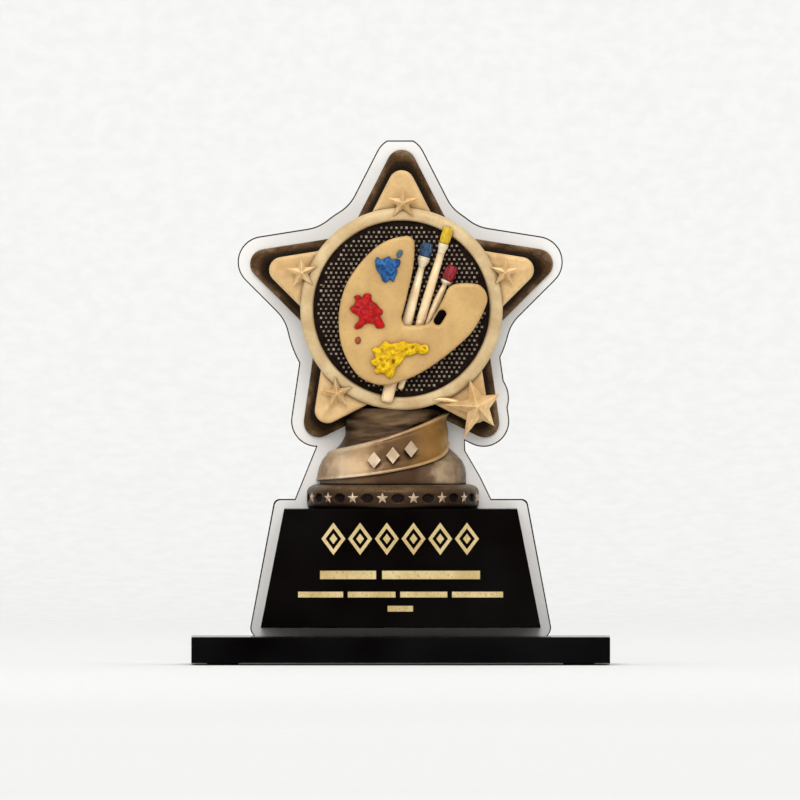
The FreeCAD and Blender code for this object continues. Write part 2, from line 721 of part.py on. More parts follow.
def star_face():
    body = new_body("star_face")
    outline = new_sketch(body, "XZ_Plane", "FaceOutline", f"-{PANEL_Y} + Sizes.body_deep")
    draw_loop(outline, star_steps("Sizes.face_tip", "Sizes.star_ratio"))
    plate = pad(body, outline, "Sizes.face_thick")
    rounded = fillet(body, plate, tip_edges(plate, 50), "Sizes.face_round")
    front = number(FACE_Y)
    rim = edges_where(rounded, lambda e: e.BoundBox.YMax < front + 0.1)
    fillet(body, rounded, rim, "0.8")
    return place(body, STAR_X, "0", STAR_Z)


def ring_bezel():
    body = new_body("ring_bezel")
    profile = new_sketch(body, "XY_Plane", "RingProfile")
    draw_loop(profile, ring_steps())
    turn = body.newObject("PartDesign::Revolution", "Revolution")
    turn.Profile = profile
    turn.ReferenceAxis = (profile, ["V_Axis"])
    turn.Angle = 360
    return place(body, STAR_X, FACE_Y, STAR_Z)


def ring_steps():
    """Section of the ring: radius against depth, a flat band with rounded shoulders."""
    inner, outer, front = "Sizes.ring_inner", "Sizes.ring_outer", "-Sizes.ring_thick"
    return ((inner, "0"), (inner, f"{front} + 0.8"), (f"{inner} + 0.8", front, 0.8),
            (f"{outer} - 1", front), (outer, f"{front} + 1", 1), (outer, "0"))


def mesh_disc():
    body = new_body("mesh_disc")
    outline = new_sketch(body, "XY_Plane", "MeshOutline")
    draw_circle(outline, "0", "0", "Sizes.ring_inner - Sizes.part_gap")
    pad(body, outline, "Sizes.mesh_thick")
    return place(body, STAR_X, FACE_Y, STAR_Z, FORWARD)


def star_solid(name, tip, ratio, base, peak):
    """Five-pointed star plate with ridged facets that rise to a point in the middle."""
    body = new_body(name)
    outline = new_sketch(body, "XY_Plane", "StarOutline")
    draw_loop(outline, star_steps(tip, ratio))
    pad(body, outline, base)
    edge = new_sketch(body, "XY_Plane", "FacetFoot", base)
    draw_loop(edge, star_steps(tip, ratio))
    summit = new_sketch(body, "XY_Plane", "FacetPeak", f"{base} + {peak}")
    summit.addGeometry(Part.Point(Vector(0, 0, 0)), False)
    summit.addConstraint(Sketcher.Constraint("Coincident", 0, 1, -1, 1))
    facets = body.newObject("PartDesign::AdditiveLoft", "Facets")
    facets.Profile = edge
    facets.Sections = [(summit, ["Vertex1"])]
    facets.Ruled = True
    return body


def peg(body, radius, length):
    sketch = new_sketch(body, "XY_Plane", "Peg", f"-{length}")
    draw_circle(sketch, "0", "0", radius)
    pad(body, sketch, f"{length} + 0.2")


def point_stars():
    spots = (
        ("point_star_top", 0.9, 176.3, 1.0, 0),
        ("point_star_left", -37.7, 149.8, 1.0, 4),
        ("point_star_right", 39.8, 149.8, 0.9, -3),
        ("point_star_lower_left", -24.3, 103.6, 1.0, 6),
    )
    stars = []
    for label, x, z, scale, turn in spots:
        body = star_solid(label, f"Sizes.point_star * {scale}", "0.45", "0.9", "1.6")
        peg(body, "1.5", "Sizes.ring_thick")
        rotation = Rotation(Vector(0, -1, 0), turn).multiply(FORWARD)
        stars.append(place(body, x, RING_Y, z, rotation))
    return stars


def corner_star():
    body = star_solid("corner_star", "Sizes.corner_star", "0.44", "1.6", "3.0")
    peg(body, "4", "Sizes.ring_thick")
    rotation = Rotation(Vector(0, -1, 0), 13).multiply(FORWARD)
    return place(body, "29.4", RING_Y, "98.6", rotation)


def corner_star_tail(large_star):
    """Swoosh along the ring that ends against the large star."""
    body = new_body("TailSolid")
    sketch = new_sketch(body, "XZ_Plane", "TailOutline", f"-{RING_Y}")
    draw_loop(sketch, (("13.2", "103.6", -26), ("13.2", "102.6"), ("21.2", "98.4", 22), ("22.6", "101.6")))
    pad(body, sketch, "1.2")
    return cut("corner_star_tail", body, large_star)


# ---------------------------------------------------------------- palette and brushes

# Palette outline in hundredths of its width, from its centre, going clockwise from the top.
PALETTE_STEPS = (
    (-6.5, 50.0, -35), (1.2, 45.6, -5.5), (-2.8, 15.0, -102), (-7.6, -4.4, -250), (-4.9, -9.9, 7),
    (7.6, -9.4), (14.0, -3.6, 8), (23.2, 14.2, 120), (28.8, 18.1, -9), (43.8, 17.8, -40),
    (50.0, 5.8, -11), (38.6, -15.8, -70), (11.6, -38.0, -180), (-15.1, -49.8, -90),
    (-37.5, -42.8, -28), (-49.6, -12.7, -50), (-44.2, 19.0, -62), (-23.4, 43.7, -80),
)
PALETTE_POSTS = ((-33, 0), (-31, -28), (30, -8))


def slot_steps(x, z, half_long, radius, lean):
    """Round-ended slot; half_long is half the distance between the end centres."""
    along = Vector(math.sin(math.radians(lean)), math.cos(math.radians(lean)), 0) * half_long
    across = Vector(along.y, -along.x, 0).normalize() * radius
    mid = Vector(x, z, 0)
    low_left, low_right = mid - along - across, mid - along + across
    high_right, high_left = mid + along + across, mid + along - across
    bend = radius * 1.03
    return ((low_left.x, low_left.y), (low_right.x, low_right.y, bend),
            (high_right.x, high_right.y), (high_left.x, high_left.y, bend))


def palette():
    body = new_body("palette")
    outline = new_sketch(body, "XZ_Plane", "PaletteOutline", "-" + PALETTE_BACK)
    unit = "Sizes.palette_wide / 100"
    steps = [tuple(f"{value} * {unit}" for value in step) for step in PALETTE_STEPS]
    draw_loop(outline, steps)
    pad(body, outline, "Sizes.palette_thick")
    hole = new_sketch(body, "XZ_Plane", "ThumbHole", "-" + PALETTE_BACK)
    draw_loop(hole, slot_steps(10.4, -2.5, 1.5, 1.6, 32))
    pocket(body, hole, "Sizes.palette_thick", True)
    posts = new_sketch(body, "XZ_Plane", "Posts", "-" + MESH_Y)
    for x, z in PALETTE_POSTS:
        draw_circle(posts, f"{x} * {unit}", f"{z} * {unit}", "2.6")
    pad(body, posts, "Sizes.palette_gap + 0.5")
    return place(body, "Sizes.palette_mid_x", "0", "Sizes.palette_mid_z")


# Paint lobes: x, z, half width, half height, height off the palette, turn in degrees.
PAINT = {
    "paint_blue": (
        (-5.7, 151.4, 3.9, 4.6, 2.0, -30), (-8.0, 148.8, 2.2, 2.0, 1.3, 0), (-3.0, 153.8, 2.4, 1.8, 1.3, 20),
        (-4.2, 148.0, 2.2, 2.4, 1.2, 30), (-0.3, 157.1, 1.35, 1.35, 0.8, 0)),
    "paint_red": (
        (-12.6, 134.6, 4.6, 4.6, 2.0, 0), (-12.4, 140.2, 1.7, 3.2, 1.4, 0), (-17.3, 136.6, 3.0, 1.8, 1.4, -20),
        (-16.0, 130.2, 2.0, 3.2, 1.4, -35), (-8.6, 130.6, 2.0, 3.4, 1.4, 40), (-8.4, 135.2, 2.4, 1.6, 1.2, 0),
        (-16.3, 123.9, 1.35, 1.35, 0.8, 0)),
    "paint_yellow": (
        (-4.9, 117.0, 5.4, 4.8, 2.2, 0), (3.6, 118.6, 6.6, 2.4, 1.6, 12), (-4.2, 111.2, 2.6, 2.6, 1.3, 0),
        (-9.6, 113.8, 2.6, 2.2, 1.4, 30), (-8.0, 120.6, 2.4, 2.4, 1.3, 0)),
}


def paint_dab(label, lobes):
    shapes = []
    for x, z, half_wide, half_high, rise, turn in lobes:
        lobe = doc.addObject("Part::Ellipsoid", "Lobe")
        lobe.Angle1 = 0
        bind(lobe, Radius1=rise, Radius2=half_wide, Radius3=half_high)
        rotation = Rotation(Vector(0, -1, 0), turn).multiply(FORWARD)
        shapes.append(place(lobe, x, PALETTE_Y, z, rotation))
    return fuse(label, shapes)


# Brushes: name, head x y z, tail x z, bristle length, ferrule length, and radii: bristles, handle's
# tail, low handle, mid handle and neck.
BRUSHES = (
    ("blue", 10.4, -8.9, 161.1, -5.6, 100.2, 5.4, 4.2, 2.4, 2.3, 2.5, 2.2, 1.2),
    ("yellow", 18.4, -9.9, 167.2, -0.3, 105.2, 6.6, 4.0, 2.0, 1.2, 1.6, 1.8, 1.4),
    ("red", 20.2, -8.9, 152.4, 9.6, 129.5, 6.2, 1.8, 2.3, 0.9, 1.3, 1.5, 0.95),
)
TAIL_Y = -8.6


def turned(label, steps, start, direction):
    body = new_body(label)
    profile = new_sketch(body, "XZ_Plane", "Profile")
    draw_loop(profile, steps)
    revolve(body, profile, 360)
    rotation = Rotation(Vector(0, 0, 1), direction)
    return place(body, start.x, start.y, start.z, rotation)


def brush(name, head_x, head_y, head_z, tail_x, tail_z, bristle, ferrule, *radii):
    radius, end, low_grip, grip, neck = radii
    tail, head = Vector(tail_x, TAIL_Y, tail_z), Vector(head_x, head_y, head_z)
    direction = head - tail
    length = direction.Length
    low, high = length - bristle - ferrule, length - bristle
    handle = turned(f"Handle_{name}", (
        (0, 0), (end * 0.7, 0.2), (end, 1.0, end), (low_grip, low * 0.35), (grip, low * 0.6),
        (neck, low), (0, low)), tail, direction)
    band = turned(f"brush_ferrule_{name}", (
        (0, low), (neck, low), (radius * 0.95, low + ferrule * 0.55, 6), (radius * 0.95, high), (0, high)),
        tail, direction)
    tuft = turned(f"brush_bristles_{name}", (
        (0, high), (radius * 0.9, high), (radius * 1.03, high + bristle * 0.55, 16),
        (radius * 0.6, length, 9), (0, length)), tail, direction)
    return [cut(f"brush_handle_{name}", handle, ring_seat(name)), band, tuft]


def ring_seat(name):
    """Space of the ring, so that a handle whose tail lies over the ring is notched to sit on it."""
    outer, inner = "Sizes.ring_outer + Sizes.part_gap", "Sizes.ring_inner - Sizes.part_gap"
    return ring_solid(f"RingSeat_{name}", outer, inner, "Sizes.ring_thick + Sizes.part_gap",
                      STAR_X, FACE_Y, STAR_Z)


# ---------------------------------------------------------------- assembly

def build():
    clearance = star_clearance()
    nodes = [base_slab(), base_screws(), foot_pads(), backing_panel(), edge_band(), panel_screws(),
             panel_washers(), threaded_inserts(), plinth_block(), name_plate(), title_ornament()]
    nodes += inscription_bars()
    foot_ring, large_star = pedestal_foot_ring(), corner_star()
    nodes += [pedestal_body(clearance), foot_ring, foot_ring_stars(foot_ring), ribbon(clearance),
              ribbon_ornaments(clearance), star_body(), star_face(), ring_bezel(), mesh_disc()]
    nodes += point_stars()
    nodes += [large_star, corner_star_tail(large_star), palette()]
    nodes += [paint_dab(label, lobes) for label, lobes in PAINT.items()]
    for row in BRUSHES:
        nodes += brush(*row)
    return nodes


def check_and_write(nodes):
    doc.recompute()
    for item in doc.Objects:
        if "Invalid" in item.State or "Error" in item.State:
            raise RuntimeError(f"{item.Label} failed: {item.State}")
    os.makedirs("parts", exist_ok=True)
    for node in nodes:
        if node.Shape.isNull() or not node.Shape.isValid() or node.Shape.Volume <= 0:
            raise RuntimeError(f"{node.Label} has no valid solid")
        node.Shape.exportStep(f"parts/{node.Label}.step")


check_and_write(build())
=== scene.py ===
import math
import random
from math import cos, hypot, pi, radians, sin

import bmesh
import bpy
import numpy as np
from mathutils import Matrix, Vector, geometry, noise


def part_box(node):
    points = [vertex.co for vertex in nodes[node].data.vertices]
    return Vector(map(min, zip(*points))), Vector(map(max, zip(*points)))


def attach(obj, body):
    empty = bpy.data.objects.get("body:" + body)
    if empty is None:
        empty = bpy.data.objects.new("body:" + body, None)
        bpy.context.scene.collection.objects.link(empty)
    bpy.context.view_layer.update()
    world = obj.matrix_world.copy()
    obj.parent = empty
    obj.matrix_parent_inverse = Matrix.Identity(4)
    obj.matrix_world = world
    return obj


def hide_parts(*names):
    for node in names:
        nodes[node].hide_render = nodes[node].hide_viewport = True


# Looks of the star trophy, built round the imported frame. Shapes are worked out in millimetres in the
# same frame as the CAD: origin under the base, -Y towards the viewer, +Z up.

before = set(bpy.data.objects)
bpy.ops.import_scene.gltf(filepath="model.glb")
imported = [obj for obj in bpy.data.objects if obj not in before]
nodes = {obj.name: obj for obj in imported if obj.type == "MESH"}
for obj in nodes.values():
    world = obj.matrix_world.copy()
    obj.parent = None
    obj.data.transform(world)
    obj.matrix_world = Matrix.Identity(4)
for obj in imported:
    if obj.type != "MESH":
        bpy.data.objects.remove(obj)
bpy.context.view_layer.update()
MM = 0.001


def mid(node, axis):
    low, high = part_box(node)
    return (low[axis] + high[axis]) / 2 / MM


def front(node):
    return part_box(node)[0].y / MM


def back(node):
    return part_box(node)[1].y / MM


STAR_X, STAR_Z = mid("ring_bezel", 0), mid("ring_bezel", 2)
PANEL_Y = front("backing_panel")
BODY_Y = back("star_face")
FACE_Y = front("star_face")
RING_Y = front("ring_bezel")
MESH_Y = front("mesh_disc")
PALETTE_Y = front("palette")
PALETTE_BACK = PALETTE_Y + 3.0
PEDESTAL_X = mid("pedestal_foot_ring", 0)
PLINTH_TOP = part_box("plinth_block")[1].z / MM
BELL_Y = PANEL_Y - 0.02
RING_INNER, RING_OUTER = 33.7, 38.7


# ---------------- materials

class Shader:
    """Small helper round a principled material's node tree."""

    def __init__(self, name, metallic=0.0, specular=0.5, **sockets):
        self.material = bpy.data.materials.new(name)
        self.material.use_nodes = True
        self.tree = self.material.node_tree
        self.bsdf = self.tree.nodes["Principled BSDF"]
        self.place = self.add("ShaderNodeTexCoord").outputs["Object"]
        sockets = {"Metallic": metallic, "Specular_IOR_Level": specular, **sockets}
        for key, value in sockets.items():
            self.bsdf.inputs[key.replace("_", " ")].default_value = value

    def add(self, kind, **values):
        node = self.tree.nodes.new(kind)
        for key, value in values.items():
            setattr(node, key, value)
        return node

    def link(self, source, target):
        self.tree.links.new(source, target)

    def stretched(self, scale):
        node = self.add("ShaderNodeMapping")
        node.inputs["Scale"].default_value = scale
        self.link(self.place, node.inputs["Vector"])
        return node.outputs["Vector"]

    def noise(self, size_mm, detail=3.0, vector=None, distortion=0.0):
        node = self.add("ShaderNodeTexNoise")
        node.inputs["Scale"].default_value = 1.0 / (size_mm * MM)
        node.inputs["Detail"].default_value = detail
        node.inputs["Roughness"].default_value = 0.55
        node.inputs["Distortion"].default_value = distortion
        self.link(vector or self.place, node.inputs["Vector"])
        return node.outputs["Fac"]

    def ramp(self, source, stops):
        node = self.add("ShaderNodeValToRGB")
        ramp = node.color_ramp
        ramp.elements[0].position, ramp.elements[1].position = stops[0][0], stops[-1][0]
        ramp.elements[0].color, ramp.elements[1].color = rgba(stops[0][1]), rgba(stops[-1][1])
        for position, colour in stops[1:-1]:
            ramp.elements.new(position).color = rgba(colour)
        self.link(source, node.inputs["Fac"])
        return node.outputs["Color"]

    def span(self, source, low, high, to_low=0.0, to_high=1.0):
        node = self.add("ShaderNodeMapRange")
        limits = {"From Min": low, "From Max": high, "To Min": to_low, "To Max": to_high}
        for key, value in limits.items():
            node.inputs[key].default_value = value
        self.link(source, node.inputs["Value"])
        return node.outputs["Result"]

    def axis(self, name):
        node = self.add("ShaderNodeSeparateXYZ")
        self.link(self.place, node.inputs["Vector"])
        return node.outputs[name]

    def mix(self, factor, first, second):
        """Mixes two colours; each colour is an output or a plain (r, g, b)."""
        node = self.add("ShaderNodeMix", data_type="RGBA", blend_type="MIX")
        self.link(factor, node.inputs[0])
        for socket, value in ((node.inputs[6], first), (node.inputs[7], second)):
            if isinstance(value, bpy.types.NodeSocket):
                self.link(value, socket)
            else:
                socket.default_value = rgba(value)
        return node.outputs[2]

    def sum(self, first, second):
        node = self.add("ShaderNodeMath", operation="ADD")
        self.link(first, node.inputs[0])
        self.link(second, node.inputs[1])
        return node.outputs[0]

    # Ambient occlusion, used to paint shade into hollows.
    def crevice(self, distance_mm):
        node = self.add("ShaderNodeAmbientOcclusion", samples=8)
        node.inputs["Distance"].default_value = distance_mm * MM
        return node.outputs["AO"]

    def bump(self, heights):
        """heights: (source, depth in mm) pairs, stacked."""
        last = None
        for source, depth in heights:
            node = self.add("ShaderNodeBump")
            node.inputs["Strength"].default_value = 1.0
            node.inputs["Distance"].default_value = depth * MM
            self.link(source, node.inputs["Height"])
            if last is not None:
                self.link(last, node.inputs["Normal"])
            last = node.outputs["Normal"]
        self.link(last, self.bsdf.inputs["Normal"])

    def colour(self, source):
        self.link(source, self.bsdf.inputs["Base Color"])

    def shade_hollows(self, base, hollow_shade, deep_mm, low, high):
        """Base colour with painted shade in the hollows up to deep_mm: ambient occlusion mixes in the darker
        colour.
        """
        self.colour(self.mix(self.span(self.crevice(deep_mm), low, high), hollow_shade, base))

    def rough(self, source, least, most, low=0.3, high=0.7):
        self.link(self.span(source, low, high, least, most), self.bsdf.inputs["Roughness"])


def rgba(colour):
    return (*colour[:3], 1.0)


def srgb(red, green, blue):
    def linear(value):
        value /= 255
        return value / 12.92 if value <= 0.04045 else ((value + 0.055) / 1.055) ** 2.4
    return linear(red), linear(green), linear(blue)


def shades(*stops):
    """Ramp stops from (position, red, green, blue)."""
    return [(place, srgb(*colour)) for place, *colour in stops]


def dimmed(colour, share):
    return tuple(c * share for c in colour)


def gold_material(name, light, dark, roughness=0.46, grain=0.05, metallic=0.18, hollow_shade=0.34):
    """Antique gold paint over cast resin: mottled, with painted shade in the hollows, finely pitted."""
    s = Shader(name, metallic, 0.25)
    cloud = s.noise(9.0, 4.0)
    speck = s.noise(1.3, 3.0)
    base = s.mix(s.span(cloud, 0.38, 0.66), dark, light)
    base = s.mix(s.span(speck, 0.55, 0.75, 0.0, 0.35), base, dimmed(dark, 0.72))
    # Painted shade: ambient occlusion mixes the hollows towards a darker copy of the dark gold.
    s.shade_hollows(base, dimmed(dark, hollow_shade), 2.2, 0.35, 0.95)
    s.rough(speck, roughness - 0.08, roughness + 0.12)
    s.bump([(s.noise(3.2, 2.0), grain * 2.5), (s.noise(0.7, 3.0), grain)])
    return s.material


def bronze_material(name, stops, bottom, top, axis="Z", roughness=0.42, metallic=0.25, specular=0.08):
    """Dark antique bronze graded by a colour ramp along one axis and streaked, with painted shade in the
    hollows.
    """
    s = Shader(name, metallic, specular)
    along = s.span(s.axis(axis), bottom * MM, top * MM)
    wave = s.span(s.noise(7.0, 3.0), 0.3, 0.7, -0.08, 0.08)
    base = s.ramp(s.sum(along, wave), stops)
    streak = s.noise(1.1, 4.0, vector=s.stretched((1.0, 1.0, 2.4)))
    base = s.mix(s.span(streak, 0.42, 0.72, 0.0, 0.5), base, dimmed(stops[0][1], 0.45))
    # Painted shade: ambient occlusion mixes the hollows towards near-black.
    s.shade_hollows(base, (0.010, 0.006, 0.004), 3.0, 0.3, 0.9)
    s.rough(streak, roughness - 0.1, roughness + 0.15)
    s.bump([(s.noise(4.0, 2.0), 0.16), (s.noise(0.8, 3.0), 0.05)])
    return s.material


def acrylic_material(name, colour, roughness, specular):
    """Polished sheet: faint waviness, hair scratches and dust in the gloss."""
    s = Shader(name, specular=specular)
    dusty = tuple(min(1.0, c * 0.98 + 0.004) for c in colour)
    s.colour(s.mix(s.span(s.noise(40.0, 2.0), 0.3, 0.7), colour, dusty))
    scratch = s.noise(0.5, 2.0, vector=s.stretched((0.06, 1.0, 1.0)))
    s.rough(scratch, roughness, roughness + 0.14, 0.45, 0.75)
    s.bump([(s.noise(55.0, 1.0), 0.05), (scratch, 0.002)])
    return s.material


def metal_material(name, colour, roughness):
    """Plated metal: slightly tarnished and finely brushed."""
    s = Shader(name, 1.0)
    tarnish = s.noise(2.0, 4.0)
    s.colour(s.mix(s.span(tarnish, 0.35, 0.7), colour, dimmed(colour, 0.66)))
    brushed = s.noise(0.25, 2.0, vector=s.stretched((1.0, 6.0, 1.0)))
    s.rough(brushed, roughness - 0.06, roughness + 0.12)
    s.bump([(brushed, 0.004), (tarnish, 0.01)])
    return s.material


def paint_material(name, light, dark, roughness=0.32):
    """Thick glossy paint in two tones mottled by noise, with painted shade in its brush furrows."""
    s = Shader(name, specular=0.18, Coat_Weight=0.06, Coat_Roughness=0.2)
    swirl = s.noise(2.4, 3.0, distortion=1.2)
    base = s.mix(s.span(swirl, 0.36, 0.64), dark, light)
    # Painted shade: ambient occlusion mixes the furrows towards a darker copy of the dark paint.
    s.shade_hollows(base, dimmed(dark, 0.4), 1.4, 0.4, 0.95)
    s.rough(swirl, roughness, roughness + 0.18)
    s.bump([(swirl, 0.22), (s.noise(0.6, 2.0), 0.05)])
    return s.material


def rubber_material(name, colour):
    """Matt, finely pitted rubber."""
    s = Shader(name, specular=0.25)
    pits = s.noise(0.5, 3.0)
    s.colour(s.mix(s.span(pits, 0.35, 0.7), colour, dimmed(colour, 2.0)))
    s.rough(pits, 0.7, 0.9)
    s.bump([(pits, 0.05)])
    return s.material


def assign(piece, material):
    piece.data.materials.clear()
    piece.data.materials.append(material)


GOLD = gold_material("gold_face", srgb(226, 191, 136), srgb(203, 165, 112))
GOLD_RING = gold_material("gold_ring", srgb(218, 193, 148), srgb(196, 166, 120))
GOLD_STAR = gold_material("gold_star", srgb(244, 212, 158), srgb(214, 170, 112), 0.32, 0.05, 0.4, 0.24)
GOLD_PALETTE = gold_material("gold_palette", srgb(210, 173, 112), srgb(196, 158, 102))
GOLD_HANDLE = gold_material("gold_handle", srgb(255, 236, 196), srgb(238, 204, 156), 0.36, hollow_shade=0.7)
GOLD_FERRULE = gold_material("pale_ferrule", srgb(250, 240, 214), srgb(224, 206, 168), 0.3, hollow_shade=0.55)
GOLD_WORN = gold_material("gold_worn", srgb(230, 208, 180), srgb(178, 150, 118), 0.4)
INLAY = gold_material("gold_inlay", srgb(226, 204, 150), srgb(202, 176, 120), 0.3, 0.01, 0.3)


# ---------------- mesh helpers

def add_object(name, data):
    thing = bpy.data.objects.new(name, data)
    bpy.context.scene.collection.objects.link(thing)
    return thing


def make_piece(name, vertices, faces, material, replaced=(), slot=None, smooth=True):
    """One mesh piece from millimetre coordinates; it rides on the trophy's only body."""
    data = bpy.data.meshes.new(name)
    data.from_pydata([tuple(c * MM for c in v) for v in vertices], [], faces)
    data.validate()
    work = bmesh.new()
    work.from_mesh(data)
    bmesh.ops.remove_doubles(work, verts=work.verts, dist=1e-6)
    bmesh.ops.recalc_face_normals(work, faces=work.faces)
    for face in work.faces:
        face.smooth = smooth
    work.to_mesh(data)
    work.free()
    piece = add_object(name, data)
    assign(piece, material)
    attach(piece, "root")
    if replaced:
        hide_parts(*replaced)
    return piece


def join_meshes(parts):
    """Joins (vertices, faces) lists into one."""
    vertices, faces = [], []
    for some, more in parts:
        offset = len(vertices)
        vertices += some
        faces += [tuple(i + offset for i in face) for face in more]
    return vertices, faces


def bridge(rings, cap_first=True, cap_last=True):
    """Skins equal-length rings of points one after another."""
    count = len(rings[0])
    vertices = [p for ring in rings for p in ring]
    faces = []
    for row in range(len(rings) - 1):
        for i in range(count):
            a, b = row * count + i, row * count + (i + 1) % count
            faces.append((a, b, b + count, a + count))
    if cap_first:
        faces.append(tuple(range(count - 1, -1, -1)))
    if cap_last:
        faces.append(tuple(range((len(rings) - 1) * count, len(rings) * count)))
    return vertices, faces


def star_corners(tip, trim):
    """Tips and inner corners of the five-pointed star; trim shortens its two lower tips."""
    corners = []
    for i in range(10):
        reach = tip if i % 2 == 0 else tip * 0.51
        if i in (4, 6):
            reach = tip - trim
        angle = radians(90 + 36 * i)
        corners.append(Vector((reach * cos(angle), reach * sin(angle))))
    return corners


def turned(vector, angle):
    c, s = cos(angle), sin(angle)
    return Vector((vector.x * c - vector.y * s, vector.x * s + vector.y * c))


def rounded(corners, radii, run_steps):
    """Closed outline with each corner rounded; the same corner count always gives the same point count."""
    count, arc_steps = len(corners), 8
    arcs = []
    for i, corner in enumerate(corners):
        before, after = corners[i - 1], corners[(i + 1) % count]
        one, two = (before - corner).normalized(), (after - corner).normalized()
        half = one.angle(two) / 2
        reach = radii[i] / math.tan(half)
        start, end = corner + one * reach, corner + two * reach
        centre = corner + (one + two).normalized() * (radii[i] / sin(half))
        low, high = start - centre, end - centre
        turn = low.angle_signed(high)
        arcs.append([centre + turned(low, -turn * step / arc_steps) for step in range(arc_steps + 1)])
    outline = []
    for i, arc in enumerate(arcs):
        outline += arc
        start, end = arc[-1], arcs[(i + 1) % count][0]
        outline += [start.lerp(end, step / run_steps) for step in range(1, run_steps)]
    return outline


def star_outline(tip, tip_round, inner_round, trim=0.0, run_steps=10):
    return rounded(star_corners(tip, trim), [tip_round, inner_round] * 5, run_steps)


def segment_distance(points, outline):
    """Distance of each point to the nearest edge of a closed outline."""
    start = np.array(outline)
    run = np.roll(start, -1, axis=0) - start
    length = np.maximum((run ** 2).sum(1), 1e-12)
    best = np.full(len(points), 1e9)
    for a, d, l2 in zip(start, run, length):
        t = np.clip(((points - a) @ d) / l2, 0, 1)
        best = np.minimum(best, np.hypot(*(points - a - t[:, None] * d).T))
    return best


def inside(points, outline):
    """Which points lie inside a closed outline."""
    start = np.array(outline)
    end = np.roll(start, -1, axis=0)
    result = np.zeros(len(points), bool)
    x, y = points[:, 0], points[:, 1]
    for (x0, y0), (x1, y1) in zip(start, end):
        crosses = (y0 > y) != (y1 > y)
        if y0 != y1:
            result ^= crosses & (x < (x1 - x0) * (y - y0) / (y1 - y0) + x0)
    return result


def relief(outline, height_at, front_y, back_y, spacing=1.0, holes=(), rims=(0.25, 0.7)):
    """Plate with a modelled front. height_at(points, distance to the edge) gives how far each front
    point stands in front of the plane front_y; the sides run straight back to back_y."""
    loops = [list(map(tuple, outline))] + [list(map(tuple, hole)) for hole in holes]
    edge = np.array([p for loop in loops for p in loop])
    low, high = edge.min(0), edge.max(0)
    grid = []
    row = 0
    z = low[1]
    while z <= high[1]:
        x = low[0] + (spacing / 2 if row % 2 else 0.0)
        while x <= high[0]:
            grid.append((x, z))
            x += spacing
        z += spacing * 0.866
        row += 1
    grid = np.array(grid)

    def gap_to_edge(points):
        return np.min([segment_distance(points, loop) for loop in loops], axis=0)

    def in_plate(points):
        keep = inside(points, loops[0])
        for hole in loops[1:]:
            keep &= ~inside(points, hole)
        return keep

    grid = grid[in_plate(grid)]
    grid = grid[gap_to_edge(grid) > max(rims) + spacing * 0.45]
    extra = []
    for rim in rims:
        for number, loop in enumerate(loops):
            points = np.array(loop)
            run = np.roll(points, -1, axis=0) - np.roll(points, 1, axis=0)
            run /= np.maximum(np.hypot(run[:, 0], run[:, 1])[:, None], 1e-9)
            x, z = points.T
            area = 0.5 * np.sum(x * np.roll(z, -1) - np.roll(x, -1) * z)
            side = 1 if (area > 0) == (number == 0) else -1
            moved = points + np.stack([-run[:, 1], run[:, 0]], 1) * rim * side
            moved = moved[in_plate(moved)]
            extra.append(moved[gap_to_edge(moved) > rim * 0.85])
    inner = np.concatenate([grid] + extra)
    sites = [Vector(p) for p in np.concatenate([edge, inner])]
    ties, offset = [], 0
    for loop in loops:
        count = len(loop)
        ties += [(offset + i, offset + (i + 1) % count) for i in range(count)]
        offset += count
    flat, _, triangles, *_ = geometry.delaunay_2d_cdt(sites, ties, [], 1, 1e-5)
    flat = np.array([tuple(v) for v in flat])
    centres = np.array([flat[list(t)].mean(0) for t in triangles])
    keep = in_plate(centres)
    triangles = [t for t, k in zip(triangles, keep) if k]
    gaps = gap_to_edge(flat)
    heights = height_at(flat, gaps)
    front_points = [(x, front_y - h, z) for (x, z), h in zip(flat, heights)]
    back_points = [(x, back_y, z) for x, z in flat]
    count = len(flat)
    faces = [tuple(t) for t in triangles] + [tuple(i + count for i in reversed(t)) for t in triangles]
    used = {}
    for a, b, c in triangles:
        for one, two in ((a, b), (b, c), (c, a)):
            used[(one, two)] = used.get((one, two), 0) + 1
    for one, two in used:
        if (two, one) not in used:
            faces.append((two, one, one + count, two + count))
    return front_points + back_points, faces


def rim_drop(gaps, radius):
    """How far a rounded rim of that radius falls below the plate's front."""
    part = np.clip(radius - gaps, 0, radius)
    return radius - np.sqrt(np.maximum(radius ** 2 - part ** 2, 0))


def swell(x, y, z):
    """Smooth noise at a point, about -1 to 1."""
    return noise.noise(Vector((x, y, z)))


def rolling(points, size, amount, seed=0.0):
    """Gentle unevenness of a cast surface."""
    return np.array([swell(x / size + seed, z / size, seed) for x, z in points]) * amount


def ridge(points, x0, z0, x1, z1, wide, high):
    """Raised stroke that fades towards its second end."""
    start, run = np.array((x0, z0)), np.array((x1 - x0, z1 - z0))
    t = np.clip(((points - start) @ run) / (run @ run), 0, 1)
    gap = np.hypot(*(points - start - t[:, None] * run).T)
    return high * (1 - 0.8 * t) * np.exp(-(gap / wide) ** 2)


# ---------------- star body, face and ring

